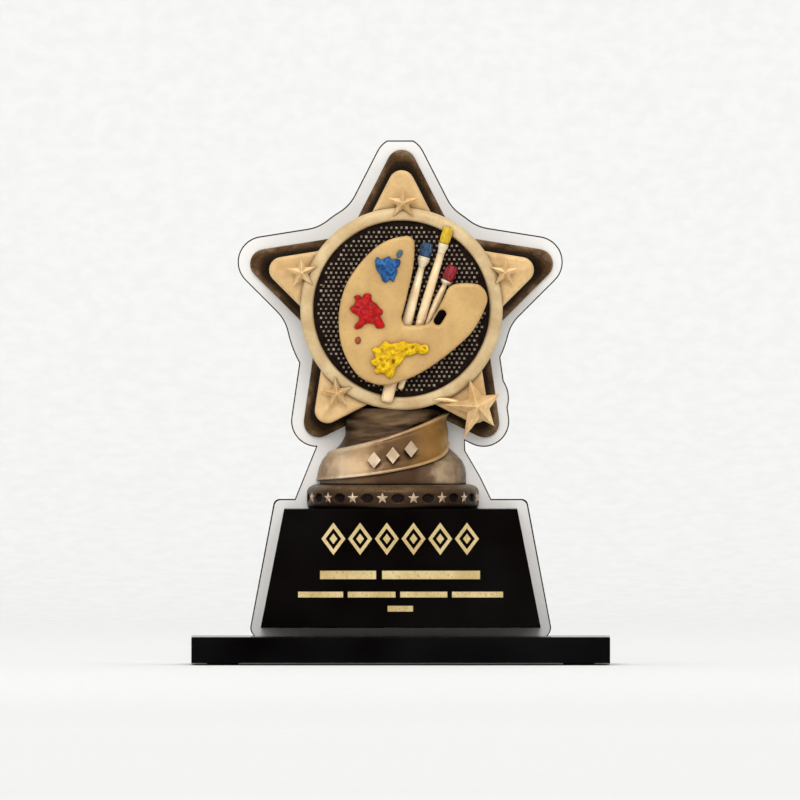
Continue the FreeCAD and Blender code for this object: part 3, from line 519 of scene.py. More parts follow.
def build_star_body():
    """Dark cast body: it flares from under the gold face out to a rounded lip on the panel."""
    # Each level: reach of the tips, their rounding, how much the lower tips are shorter, y.
    levels = [(67.1, 5.5, 1.3, PANEL_Y - 0.02), (67.4, 5.7, 1.3, PANEL_Y - 0.6),
              (67.3, 5.7, 1.3, PANEL_Y - 1.5)]
    lip_y = PANEL_Y - 2.0
    draft, steps = 9.6, 14
    for i in range(1, steps + 1):
        u = i / steps
        levels.append((67.0 - draft * u, 5.7 - 1.1 * u, 1.3 * (1 - u), lip_y - (lip_y - BODY_Y) * u ** 2.5))
    rings = []
    for tip, tip_round, trim, y in levels:
        outline = star_outline(tip, tip_round, 1.2, trim)
        ring = []
        for p in outline:
            wobble = swell(p.x / 9, y / 5, p.y / 9) * 0.12
            scale = 1 + wobble / max(p.length, 1)
            ring.append((STAR_X + p.x * scale, y, STAR_Z + p.y * scale))
        rings.append(ring)
    # Colour ramp from the gold face back to the panel: the near-black next to the face is painted shade under
    # its overhang, the light brown out at the lip is painted light.
    stops = shades(
        (0.0, 16, 11, 7), (0.5, 26, 18, 11), (0.74, 48, 34, 22), (0.9, 88, 65, 43), (1.0, 138, 113, 86))
    material = bronze_material("bronze_sides_light_and_shade", stops, BODY_Y, PANEL_Y - 1.0, "Y", 0.6, 0.0, 0.015)
    make_piece("star_sides", *bridge(rings), material, ["star_body"], "bronze_resin")


# Raised strokes on the gold face: start x, z, end x, z, half width, height.
STAR_STROKES = (
    (-30.5, 145.2, -22.0, 139.5, 0.9, 0.55), (-44.8, 148.6, -49.5, 150.8, 0.8, 0.4),
    (-31.4, 152.2, -26.0, 154.6, 0.7, 0.4), (33.8, 145.8, 27.4, 141.8, 0.9, 0.5),
    (46.4, 150.4, 50.4, 151.6, 0.7, 0.35), (34.6, 153.0, 29.6, 155.4, 0.7, 0.35),
    (-2.9, 171.0, -6.8, 168.2, 0.8, 0.4), (5.0, 171.4, 8.4, 168.4, 0.8, 0.4),
    (-28.0, 97.6, -33.0, 91.2, 0.9, 0.5), (-20.8, 97.4, -18.0, 93.0, 0.8, 0.4),
    (-30.6, 104.6, -34.0, 103.0, 0.8, 0.4),
)


def build_star_face():
    outline = [(STAR_X + p.x, STAR_Z + p.y) for p in star_outline(58.8, 4.9, 0.8, run_steps=16)]

    def height(points, gaps):
        rise = -rim_drop(gaps, 1.0) + rolling(points, 6.0, 0.12) + rolling(points, 2.2, 0.05, 4.0)
        for stroke in STAR_STROKES:
            rise += 1.5 * ridge(points, *stroke)
        return rise

    plate = relief(outline, height, FACE_Y + 0.1, BODY_Y)
    make_piece("star_front", *plate, GOLD, ["star_face"], "gold_resin")


def build_ring():
    """Gold ring, steep inside and rolled off outside. Its profile is (radius, y)."""
    inner, outer = RING_INNER, RING_OUTER
    profile = [(inner, FACE_Y), (inner, RING_Y + 1.2), (inner + 0.15, RING_Y + 0.55),
               (inner + 0.5, RING_Y + 0.15), (inner + 0.95, RING_Y), (outer - 2.4, RING_Y),
               (outer - 1.3, RING_Y + 0.2), (outer - 0.5, RING_Y + 0.7), (outer - 0.1, RING_Y + 1.4),
               (outer, FACE_Y)]
    rings = []
    steps = 180
    for radius, y in profile:
        ring = []
        for i in range(steps):
            angle = 2 * pi * i / steps
            x, z = radius * cos(angle), radius * sin(angle)
            lift = 0.0 if y >= FACE_Y else swell(x / 5, z / 5, 2.0) * 0.08
            ring.append((STAR_X + x, y - lift, STAR_Z + z))
        rings.append(ring)
    rings.append(rings[0])
    make_piece("ring_band", *bridge(rings, False, False), GOLD_RING, ["ring_bezel"], "gold_resin")


def build_mesh_disc():
    """Dark disc covered with small square studs in staggered rows."""
    radius = RING_INNER - 0.15
    floor_y = MESH_Y + 0.42
    parts = [post(STAR_X, STAR_Z, radius, floor_y, FACE_Y, 128)]
    pitch_x, pitch_z = 1.92, 1.72
    rows, columns = int(radius / pitch_z) + 1, int(radius / pitch_x) + 1
    bare_rim, bare_thumb = 1.5, 3.4
    random.seed(7)
    for row in range(-rows, rows + 1):
        z = row * pitch_z
        shift = pitch_x / 2 if row % 2 else 0.0
        for column in range(-columns, columns + 1):
            x = column * pitch_x + shift
            near_thumb = hypot(STAR_X + x - THUMB_X, STAR_Z + z - THUMB_Z) < bare_thumb
            if hypot(x, z) > radius - bare_rim or near_thumb:
                continue
            parts.append(stud(STAR_X + x, STAR_Z + z, floor_y))
    s = Shader("dark_mesh", 0.1, 0.06)
    # Stud tops nearest the viewer are painted pale over the dark ground: part rubbed-back paint, part painted
    # highlight.
    high = s.span(s.axis("Y"), (MESH_Y + 0.16) * MM, (MESH_Y + 0.04) * MM)
    grime = s.noise(1.6, 3.0)
    light = s.mix(s.span(grime, 0.35, 0.7), srgb(176, 164, 144), srgb(112, 96, 78))
    ground = s.mix(s.span(grime, 0.3, 0.7), srgb(36, 23, 17), srgb(18, 10, 7))
    s.colour(s.mix(high, ground, light))
    s.rough(grime, 0.42, 0.66)
    s.bump([(s.noise(0.5, 2.0), 0.04)])
    make_piece("mesh_field", *join_meshes(parts), s.material, ["mesh_disc"], "bronze_resin", smooth=False)


def stud(x, z, floor_y):
    """One stud, a slightly uneven four-sided frustum."""
    base = 0.6 + random.uniform(-0.04, 0.04)
    top = 0.38 + random.uniform(-0.07, 0.07)
    high = MESH_Y + 0.02 + random.uniform(0.0, 0.06)
    rings = []
    for half, y in ((base, floor_y + 0.02), (top, high)):
        rings.append([(x + sx * half, y, z + sz * half) for sx, sz in ((-1, -1), (1, -1), (1, 1), (-1, 1))])
    return bridge(rings, False, True)


# ---------------- raised stars

def faceted_star(tips, inner, base, peak):
    """Star from five (reach, angle) tips: a low plinth with ridged facets up to a point. Local x, z, out."""
    outline = []
    for i, (reach, angle) in enumerate(tips):
        after = tips[(i + 1) % 5]
        gap = (after[1] - angle) % 360
        outline.append((reach, angle))
        outline.append((inner, angle + gap / 2))
    flat = [(r * cos(radians(a)), r * sin(radians(a))) for r, a in outline]
    vertices = [(x, z, 0.0) for x, z in flat] + [(x, z, base) for x, z in flat] + [(0, 0, peak)]
    faces = [tuple(range(9, -1, -1))]
    for i in range(10):
        j = (i + 1) % 10
        faces += [(i, j, j + 10, i + 10), (i + 10, j + 10, 20)]
    return vertices, faces


def soften(piece, width):
    modifier = piece.modifiers.new("softened_edges", "BEVEL")
    modifier.width = width * MM
    modifier.segments = 2
    modifier.limit_method = "ANGLE"
    modifier.angle_limit = radians(12)
    return piece


def regular(tip, turn=0.0):
    """Tips of an even five-pointed star."""
    return [(tip, 90 + turn + 72 * i) for i in range(5)]


def build_point_stars():
    # node, centre x and z, reach of the tips, turn in degrees
    spots = (
        ("point_star_top", 0.9, 176.3, 6.5, 0.0), ("point_star_left", -37.7, 149.8, 6.5, 4.0),
        ("point_star_right", 39.8, 149.8, 5.85, -3.0), ("point_star_lower_left", -24.3, 103.6, 6.5, 6.0),
    )
    for node, x, z, tip, turn in spots:
        star_on_ring(node, x, z, faceted_star(regular(tip, turn), tip * 0.37, 0.45, 2.5), 1.4, 0.16)


def post(x, z, radius, front_y, back_y, steps=18):
    """Round bar or disc from back_y forward to front_y."""
    turns = [2 * pi * i / steps for i in range(steps)]
    ring = [(x + radius * cos(a), z + radius * sin(a)) for a in turns]
    return bridge([[(px, y, pz) for px, pz in ring] for y in (back_y, front_y)])


def star_on_ring(node, x, z, star, post_radius, edge):
    """Sets a raised star on the ring, with a post behind it down to the gold face."""
    vertices, faces = star
    placed = [(x + a, RING_Y - out, z + b) for a, b, out in vertices]
    whole = join_meshes([(placed, faces), post(x, z, post_radius, RING_Y + 0.05, FACE_Y)])
    soften(make_piece(node + "_cast", *whole, GOLD_STAR, [node], "gold_resin", smooth=False), edge)


def build_corner_star():
    tips = [(10.6, 107), (13.0, 177), (13.2, 246), (9.9, 310), (9.6, 29)]
    star_on_ring("corner_star", 29.4, 98.6, faceted_star(tips, 4.6, 1.0, 4.4), 3.6, 0.22)


def build_corner_tail():
    """Swept comet tail lying on the ring beside the large star."""
    # x, z, half width
    spine = (
        (23.4, 99.4, 1.5), (20.4, 100.3, 1.3), (17.4, 101.1, 1.0), (14.6, 101.4, 0.65), (12.2, 101.0, 0.25))
    widest, high, steps = 1.5, 1.1, 11
    rings = []
    for x, z, half in spine:
        ring = []
        for i in range(steps + 1):
            angle = pi * i / steps
            rise = high * sin(angle) * half / widest
            ring.append((x, RING_Y + 0.05 - rise, z + half * cos(angle)))
        rings.append(ring)
    make_piece("corner_star_swoosh", *bridge(rings), GOLD_STAR, ["corner_star_tail"], "gold_resin")


# ---------------- palette, paint and brushes

# Corners of the palette in hundredths of its width, and the radius of the run that leads there.
PALETTE_STEPS = (
    (-6.5, 50.0, -35), (1.2, 45.6, -5.5), (-2.8, 15.0, -102), (-7.6, -4.4, -250), (-4.9, -9.9, 7),
    (7.6, -9.4, 0), (14.0, -3.6, 8), (23.2, 14.2, 120), (28.8, 18.1, -9), (43.8, 17.8, -40),
    (50.0, 5.8, -11), (38.6, -15.8, -70), (11.6, -38.0, -180), (-15.1, -49.8, -90),
    (-37.5, -42.8, -28), (-49.6, -12.7, -50), (-44.2, 19.0, -62), (-23.4, 43.7, -80),
)
PALETTE_WIDE = 56.8
PALETTE_X, PALETTE_Z = 4.6, 135.2
THUMB_X, THUMB_Z = PALETTE_X + 10.4, PALETTE_Z - 2.5


def arc_run(start, end, radius, step=1.1):
    """Points after start up to end, on a straight run (radius 0) or an arc turning left (+) or right (-)."""
    chord = end - start
    count = max(2, int(chord.length / step) + 1)
    if radius == 0:
        return [start.lerp(end, i / count) for i in range(1, count + 1)]
    half = chord.length / 2
    rise = math.sqrt(max(radius * radius - half * half, 0.0))
    across = Vector((-chord.y, chord.x)).normalized()
    centre = (start + end) / 2 + across * math.copysign(rise, radius)
    low = start - centre
    swing = 2 * math.asin(min(1.0, half / abs(radius))) * (1 if radius > 0 else -1)
    return [centre + turned(low, swing * i / count) for i in range(1, count + 1)]


def palette_outline():
    unit = PALETTE_WIDE / 100
    corners = [Vector((x, z)) * unit for x, z, _ in PALETTE_STEPS]
    outline = []
    for i, (_, _, radius) in enumerate(PALETTE_STEPS):
        outline += arc_run(corners[i - 1], corners[i], radius * unit)
    return [(PALETTE_X + p.x, PALETTE_Z + p.y) for p in reversed(outline)]


def thumb_hole():
    """Slanted slot through the palette, round at both ends."""
    lean = radians(32)
    radius, stretch, steps = 1.6, 1.5, 28
    points = []
    for i in range(steps):
        angle = 2 * pi * i / steps
        across, along = radius * cos(angle), radius * sin(angle)
        along += math.copysign(stretch, along) if abs(along) > 1e-6 else 0
        points.append((THUMB_X + across * cos(lean) + along * sin(lean),
                       THUMB_Z - across * sin(lean) + along * cos(lean)))
    return points


def build_palette():
    def height(points, gaps):
        return -rim_drop(gaps, 1.1) + rolling(points, 8.0, 0.16, 3.0) + rolling(points, 2.4, 0.05, 9.0)

    plate = relief(palette_outline(), height, PALETTE_Y + 0.1, PALETTE_BACK, 1.1, holes=[thumb_hole()])
    unit = PALETTE_WIDE / 100
    posts = [post(PALETTE_X + x * unit, PALETTE_Z + z * unit, 2.6, PALETTE_BACK + 0.01, MESH_Y)
             for x, z in ((-33, 0), (-31, -28), (30, -8))]
    make_piece("palette_board", *join_meshes([plate] + posts), GOLD_PALETTE, ["palette"], "gold_resin")


def splash(corners, steps=4):
    """Smooth closed outline through the given points."""
    points = []
    count = len(corners)
    for k in range(count):
        p0, p1, p2, p3 = (Vector(corners[(k + d) % count]) for d in (-1, 0, 1, 2))
        for i in range(steps):
            f = i / steps
            points.append(tuple(0.5 * (2 * p1 + (p2 - p0) * f + (2 * p0 - 5 * p1 + 4 * p2 - p3) * f * f
                                       + (3 * p1 - p0 - 3 * p2 + p3) * f ** 3)))
    return points


def dab(outline, high, rough, seed, round_over=None):
    """A mound of thick paint, steep at its edge and furrowed on top."""
    shoulder = round_over or high * 1.25

    def height(points, gaps):
        dome = np.sqrt(np.clip(1 - (1 - np.clip(gaps / shoulder, 0, 1)) ** 2, 0, 1)) * high
        return dome * (1 + rolling(points, 1.9, rough, seed) + rolling(points, 0.8, rough * 0.5, seed + 5))

    return relief(outline, height, PALETTE_Y + 0.12, PALETTE_Y + 0.6, 0.5, rims=(0.18, 0.45))


def drop(x, z, half_wide, half_high, turn):
    """Small domed droplet, an oval turned clockwise."""
    high = 0.9
    c, s = cos(radians(turn)), sin(radians(turn))
    rings = []
    for i in range(7):
        rise = radians(90 * i / 6)
        reach = cos(rise) + 0.02
        ring = []
        for a in range(0, 360, 15):
            across = half_wide * reach * cos(radians(a))
            along = half_high * reach * sin(radians(a))
            y = PALETTE_Y - high * sin(rise)
            ring.append((x + across * c + along * s, y, z - across * s + along * c))
        rings.append(ring)
    base = [(px, PALETTE_Y + 0.4, pz) for px, _, pz in rings[0]]
    return bridge([base] + rings)


BLUE = paint_material("blue_paint", srgb(48, 112, 172), srgb(12, 52, 104))
TEAL = paint_material("teal_paint", srgb(86, 122, 132), srgb(52, 86, 100))
RED = paint_material("red_paint", srgb(204, 14, 14), srgb(140, 4, 6))
RUST = paint_material("rust_paint", srgb(166, 78, 54), srgb(122, 48, 34))
YELLOW = paint_material("yellow_paint", srgb(252, 214, 14), srgb(218, 166, 8), roughness=0.4)


# Splash outlines (x, z), read off the photograph.
BLUE_SPLASH = (
    (-5.5, 155.6), (-4.3, 156.1), (-3.6, 154.9), (-1.7, 155.2), (-0.1, 154.4), (-0.5, 152.3),
    (-1.4, 151.4), (-1.2, 149.7), (-2.0, 148.2), (-2.7, 146.3), (-4.3, 147.0), (-5.5, 146.0),
    (-7.0, 146.6), (-7.7, 148.7), (-8.7, 150.1), (-9.5, 151.8), (-9.8, 154.4), (-8.9, 155.8),
    (-7.7, 154.8),
)
RED_SPLASH = (
    (-12.7, 142.0), (-11.2, 141.3), (-11.0, 139.2), (-9.3, 138.0), (-7.9, 136.3), (-6.8, 135.3),
    (-7.0, 133.9), (-7.9, 133.4), (-7.0, 131.7), (-6.0, 129.6), (-7.0, 128.5), (-9.3, 128.6),
    (-10.3, 130.1), (-11.9, 130.4), (-13.6, 130.1), (-15.1, 128.6), (-17.3, 128.2), (-17.6, 129.6),
    (-16.0, 131.5), (-16.3, 133.2), (-18.6, 134.6), (-19.4, 136.3), (-17.9, 137.4), (-17.3, 139.2),
    (-17.9, 140.6), (-16.0, 141.3), (-14.8, 140.3), (-14.1, 141.5),
)
YELLOW_SPLASH = (
    (-6.8, 123.1), (-5.5, 123.7), (-4.1, 122.7), (-1.2, 123.1), (1.2, 123.9), (3.1, 122.7),
    (5.5, 123.1), (7.8, 122.2), (9.8, 122.4), (10.8, 121.0), (10.2, 119.1), (8.3, 118.6), (5.9, 119.1),
    (4.0, 118.0), (2.1, 118.0), (0.7, 116.2), (-0.3, 114.8), (-1.7, 113.8), (-2.2, 111.9),
    (-2.9, 110.0), (-4.6, 109.5), (-6.0, 111.0), (-7.4, 111.5), (-8.9, 111.0), (-10.3, 112.4),
    (-9.3, 113.8), (-11.0, 114.8), (-11.5, 116.2), (-9.8, 117.2), (-10.0, 118.9), (-11.0, 120.1),
    (-9.8, 121.5), (-8.4, 121.2),
)


def build_paint():
    make_piece("blue_dab", *dab(splash(BLUE_SPLASH), 1.7, 0.5, 1.0), BLUE, ["paint_blue"], "blue_paint")
    make_piece("blue_drop", *drop(-0.4, 157.0, 1.0, 1.6, 28), TEAL, slot="blue_paint")
    make_piece("red_splash", *dab(splash(RED_SPLASH), 1.8, 0.5, 2.0), RED, ["paint_red"], "red_paint")
    make_piece("red_drop", *drop(-16.3, 123.9, 1.1, 1.4, 10), RUST, slot="red_paint")
    yellow = dab(splash(YELLOW_SPLASH), 1.9, 0.95, 3.0, round_over=1.3)
    make_piece("yellow_smear", *yellow, YELLOW, ["paint_yellow"], "yellow_paint")


TAIL_Y = -8.6
# name, head, tail, lengths of bristles and ferrule, radii of bristles, handle's tail, low part, grip, neck
BRUSHES = (
    ("blue", (10.4, -8.9, 161.1), (-5.6, TAIL_Y, 100.2), 5.4, 4.2, 2.4, 2.3, 2.5, 2.2, 1.2),
    ("yellow", (18.4, -9.9, 167.2), (-0.3, TAIL_Y, 105.2), 6.6, 4.0, 2.0, 1.2, 1.6, 1.8, 1.4),
    ("red", (20.2, -8.9, 152.4), (9.6, TAIL_Y, 129.5), 6.2, 1.8, 2.3, 0.9, 1.3, 1.5, 0.95),
)


def along_axis(profile, tail, head, shape, steps=28):
    """Turned solid on the line from tail to head; profile is (radius, distance from tail).
    shape(angle, distance) scales the radius."""
    tail, head = Vector(tail), Vector(head)
    forward = (head - tail).normalized()
    side = forward.cross(Vector((0, 1, 0))).normalized()
    other = forward.cross(side)
    rings = []
    for radius, distance in profile:
        ring = []
        for i in range(steps):
            angle = 2 * pi * i / steps
            out = side * cos(angle) + other * sin(angle)
            ring.append(tuple(tail + forward * distance + out * (radius * shape(angle, distance))))
        rings.append(ring)
    return bridge(rings)


TUFT_COLOURS = {
    "blue": (srgb(62, 98, 140), srgb(14, 26, 48)),
    "yellow": (srgb(232, 196, 30), srgb(190, 148, 16)),
    "red": (srgb(176, 30, 40), srgb(84, 10, 18)),
}


def uneven(angle, distance):
    """Hand-formed wobble of a handle or ferrule."""
    return 1 + 0.06 * swell(cos(angle) * 1.5, sin(angle) * 1.5, distance / 4)


def build_brushes():
    for name, head, tail, bristle, ferrule, radius, end, low_grip, grip, neck in BRUSHES:
        length = (Vector(head) - Vector(tail)).length
        low, high = length - bristle - ferrule, length - bristle
        band = low * 0.5
        handle = [(0.1, 0.0), (end * 0.6, 0.1), (end * 0.86, 0.4)]
        handle += [(end + (low_grip - end) * i / 12, 1.2 + (low * 0.35 - 1.2) * i / 12) for i in range(13)]
        handle += [
            (low_grip * 0.98, band - 0.9), (low_grip * 1.04, band - 0.5), (low_grip * 1.04, band - 0.15),
            (grip * 0.86, band + 0.1), (grip * 0.9, band + 0.5), (grip * 0.98, band + 1.2),
            (grip * 0.96, low * 0.62), ((grip + neck) * 0.5, low * 0.82), (neck, low), (0.1, low + 0.01)]
        vertices, faces = along_axis(handle, tail, head, uneven)
        rest_on_ring(vertices)
        make_piece(f"{name}_brush_handle", vertices, faces, GOLD_HANDLE,
                   [f"brush_handle_{name}"], "gold_resin")
        collar = [(neck, low + 0.01), (neck + 0.1, low + ferrule * 0.1)]
        collar += [(radius * wide, low + ferrule * share) for wide, share in (
            (0.8, 0.4), (0.96, 0.62), (1.0, 0.74), (0.9, 0.8), (0.97, 0.87))]
        collar += [(radius * 0.92, high - 0.1), (radius * 0.8, high), (0.1, high + 0.01)]
        make_piece(f"{name}_brush_ferrule", *along_axis(collar, tail, head, uneven), GOLD_FERRULE,
                   [f"brush_ferrule_{name}"], "pale_gold")
        build_tuft(name, head, tail, bristle, high, radius)


def rest_on_ring(vertices):
    """Notches a handle whose tail lies over the ring, as the CAD handle is notched."""
    seat = RING_Y - 0.1
    for i, (x, y, z) in enumerate(vertices):
        if hypot(x - STAR_X, z - STAR_Z) > RING_INNER - 0.1 and y > seat:
            vertices[i] = (x, seat, z)


def build_tuft(name, head, tail, bristle, high, radius):
    """Cast bristle tuft: a swelling bundle grooved between its locks, cut ragged at the tip."""
    locks = 9

    def grooved(angle, distance):
        rise = (distance - high) / bristle
        depth = 0.06 + 0.14 * min(1.0, rise)
        return 1 - depth * (0.5 + 0.5 * cos(locks * angle + 1.1 * sin(distance * 1.3)))

    profile = [(radius * 0.84, high + 0.01)]
    profile += [(radius * wide, high + bristle * share) for wide, share in (
        (0.94, 0.1), (1.03, 0.3), (1.05, 0.52), (1.0, 0.72), (0.88, 0.9), (0.66, 1.0), (0.3, 0.94))]
    profile += [(0.06, high + bristle * 0.9)]
    light, dark = TUFT_COLOURS[name]
    s = Shader(f"{name}_bristles", specular=0.4)
    strand = s.noise(0.5, 3.0, vector=s.stretched((1.0, 1.0, 0.2)))
    base = s.mix(s.span(strand, 0.36, 0.66), dark, light)
    # Painted shade: ambient occlusion darkens the grooves between the locks.
    s.shade_hollows(base, dimmed(dark, 0.4), 1.0, 0.35, 0.95)
    s.rough(strand, 0.35, 0.6)
    s.bump([(strand, 0.12)])
    make_piece(f"{name}_brush_tuft", *along_axis(profile, tail, head, grooved, 7 * locks), s.material,
               [f"brush_bristles_{name}"], f"{name}_paint")


# ---------------- pedestal

FOOT_STOPS = shades((0.0, 52, 38, 28), (0.55, 74, 55, 40), (0.8, 98, 76, 54), (1.0, 132, 106, 78))
BRONZE_FOOT = bronze_material("bronze_foot", FOOT_STOPS, 60.0, 69.0, roughness=0.36, metallic=0.5)
PIT_STOPS = shades((0.0, 22, 14, 10), (1.0, 34, 23, 16))
BRONZE_PIT = bronze_material("bronze_pit", PIT_STOPS, 60.0, 69.0, roughness=0.5, metallic=0.2)


def bell_material():
    """Antique bronze with painted highlights down the sides of the bell, dark in the middle and on the neck,
    and painted shade in the hollows.
    """
    s = Shader("bronze_pedestal", 0.45, 0.1)
    wave = s.span(s.noise(6.0, 3.0), 0.3, 0.7, -0.05, 0.05)
    across = s.sum(s.span(s.axis("X"), -31 * MM, 25 * MM), wave)
    # Ramp across the bell from left to right: pale bands are painted highlights where the side lights would
    # fall, darker between them.
    painted_highlights = s.ramp(across, shades(
        (0.0, 120, 96, 72), (0.1, 168, 142, 112), (0.24, 122, 95, 68), (0.42, 84, 61, 43), (0.64, 78, 56, 40),
        (0.76, 112, 88, 66), (0.85, 190, 164, 132), (0.92, 150, 124, 96), (1.0, 84, 62, 46)))
    height = s.sum(s.span(s.axis("Z"), 79 * MM, 85 * MM), wave)
    streak = s.noise(3.4, 2.5, vector=s.stretched((0.3, 0.3, 1.3)))
    neck = s.mix(s.span(streak, 0.34, 0.7), srgb(60, 43, 30), srgb(116, 92, 66))
    # Painted shade: ambient occlusion darkens the hollows.
    s.shade_hollows(s.mix(height, painted_highlights, neck), srgb(20, 13, 8), 3.0, 0.3, 0.9)
    s.rough(streak, 0.32, 0.52)
    s.bump([(s.noise(4.0, 2.0), 0.2), (streak, 0.06)])
    return s.material


def bell_radius(z):
    """The pedestal's radius at a height, as the CAD bell has it."""
    points = (
        (68.8, 27.9), (73.1, 27.9), (75.5, 27.5), (77.6, 26.5), (79.0, 25.3), (80.0, 24.3), (81.6, 22.4),
        (83.4, 20.6), (85.2, 19.2), (87.1, 18.2), (92.0, 18.1), (97.0, 18.3), (102.6, 18.6))
    for (z0, r0), (z1, r1) in zip(points, points[1:]):
        if z <= z1:
            t = max(0.0, (z - z0) / (z1 - z0))
            return r0 + (r1 - r0) * t
    return points[-1][1]


def on_pedestal(radius, angle, z, axis_y=BELL_Y):
    """Point at a radius and an angle round the pedestal's axis; angle 0 faces the viewer."""
    return PEDESTAL_X + radius * sin(angle), axis_y - radius * cos(angle), z


def second_material(piece, material, chosen):
    """Gives a material to the faces that chosen(degrees round the pedestal, height) picks."""
    piece.data.materials.append(material)
    for polygon in piece.data.polygons:
        x, y, z = polygon.center / MM
        if chosen(math.degrees(math.atan2(x - PEDESTAL_X, PANEL_Y - y)), z):
            polygon.material_index = 1


def build_pedestal():
    """Bell and neck of the pedestal: soft rolled folds under the star, slumped and uneven like cloth."""
    steps, rows = 120, 56
    low, high = 68.8, 101.8
    folds = ((84.6, 0.5), (87.6, 0.65), (91.2, 0.6), (95.0, 0.45))
    rings = []
    for row in range(rows + 1):
        z = low + (high - low) * row / rows
        ring = []
        for i in range(steps + 1):
            angle = radians(-90 + 180 * i / steps)
            lean = 1.2 * sin(angle)
            fold = 0.0
            for level, rise in folds:
                fold += rise * math.exp(-((z - level - lean - 0.8 * sin(2 * angle)) / 0.9) ** 2)
            rough = swell(sin(angle) * 3, z / 6, cos(angle) * 3) * 0.35
            r = bell_radius(z) + (fold + rough) * min(1.0, cos(angle) * 3)
            ring.append(on_pedestal(r, angle, z))
        rings.append(ring)
    vertices, faces = bridge(rings)
    keep_below_star(vertices)
    make_piece("pedestal_bell", vertices, faces, bell_material(), ["pedestal_body"], "bronze_resin")


def keep_below_star(vertices):
    """Holds the neck's top just clear of the star body's underside, as the CAD neck is cut."""
    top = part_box("pedestal_body")[1].z / MM
    for i, (x, y, z) in enumerate(vertices):
        if z > top:
            vertices[i] = (x, y, top)


OVAL_SPOTS = [-59.5 + 21 * k for k in range(7)] + [-80.5, 87.0]
STAR_HIGH = 4.1


def build_foot_ring():
    """Foot ring with sunk dark ovals between its stars. Its profile is (radius, height over the plinth)."""
    profile = [(28.0, 0.0), (31.9, 0.0), (32.5, 0.5), (32.75, 1.2)]
    profile += [(32.8, 1.6 + 0.42 * i) for i in range(12)]
    profile += [(32.7, 6.8), (32.35, 7.5), (31.7, 8.2), (30.7, 8.75), (29.4, 9.1), (28.0, 9.15), (20.0, 9.15)]
    steps = 300
    rings = []
    for radius, high in profile:
        ring = []
        for i in range(steps + 1):
            degrees = -90 + 180 * i / steps
            angle = radians(degrees)
            sink = max(0.0, 1 - oval_reach(degrees, high, radius))
            dent = 0.9 * min(1.0, sink * 3.0)
            bump = swell(degrees / 4, high / 2, 3.0) * 0.1
            ring.append(on_pedestal(radius - dent + bump, angle, PLINTH_TOP + high))
        rings.append(ring)
    piece = make_piece("foot_ring_cast", *bridge(rings), BRONZE_FOOT, ["pedestal_foot_ring"], "bronze_resin")

    def in_oval(degrees, z):
        return z > PLINTH_TOP + 1 and oval_reach(degrees, z - PLINTH_TOP, 32.8) < 0.96

    second_material(piece, BRONZE_PIT, in_oval)


def oval_reach(degrees, high, radius):
    """1 on the rim of the nearest sunk oval, less inside it."""
    half_wide, half_high = 2.7, 1.75
    across = min(abs(radians(degrees - spot)) for spot in OVAL_SPOTS) * radius
    return hypot(across / half_wide, (high - STAR_HIGH) / half_high)


# Colour ramps across the sash from left to right: painted highlight on the left, painted shade through the
# middle.
RIBBON_LIGHT_AND_SHADE_STOPS = shades(
    (0.0, 140, 112, 82), (0.14, 232, 202, 164), (0.3, 206, 172, 132), (0.45, 122, 92, 64),
    (0.62, 108, 80, 50), (0.85, 160, 118, 62), (1.0, 206, 172, 120))
# Paler copy of the sash ramp for the rolled lips: painted highlight along both edges.
LIP_HIGHLIGHT_STOPS = shades(
    (0.0, 170, 144, 114), (0.14, 246, 224, 192), (0.3, 232, 204, 168), (0.45, 176, 146, 112),
    (0.62, 164, 132, 94), (0.85, 198, 160, 106), (1.0, 232, 204, 160))


def ribbon_material(name, stops):
    """Gold with a painted highlight on the left where the sash turns to the light, painted shade through the
    middle, a paler right end, and painted shade in the hollows.
    """
    s = Shader(name, 0.45, 0.15)
    across = s.span(s.axis("X"), -30 * MM, 22 * MM)
    wave = s.span(s.noise(5.0, 3.0), 0.3, 0.7, -0.04, 0.04)
    # Painted shade: ambient occlusion darkens the hollows.
    s.shade_hollows(s.ramp(s.sum(across, wave), stops), srgb(30, 20, 12), 2.5, 0.3, 0.95)
    streak = s.noise(1.0, 3.0)
    s.rough(streak, 0.34, 0.56)
    s.bump([(s.noise(2.5, 2.0), 0.15), (streak, 0.05)])
    return s.material


SASH_START, SASH_SWEEP = -88, 158


def sash_edges(angle):
    """Heights of the sash's lower and upper edges at an angle round the pedestal, and how far along it is."""
    t = (angle - SASH_START) / SASH_SWEEP
    return 70.0 + 2.0 * t + 11.8 * max(t, 0.0) ** 2.6, 81.6 + 3.2 * t + 12.0 * max(t, 0.0) ** 1.7, t


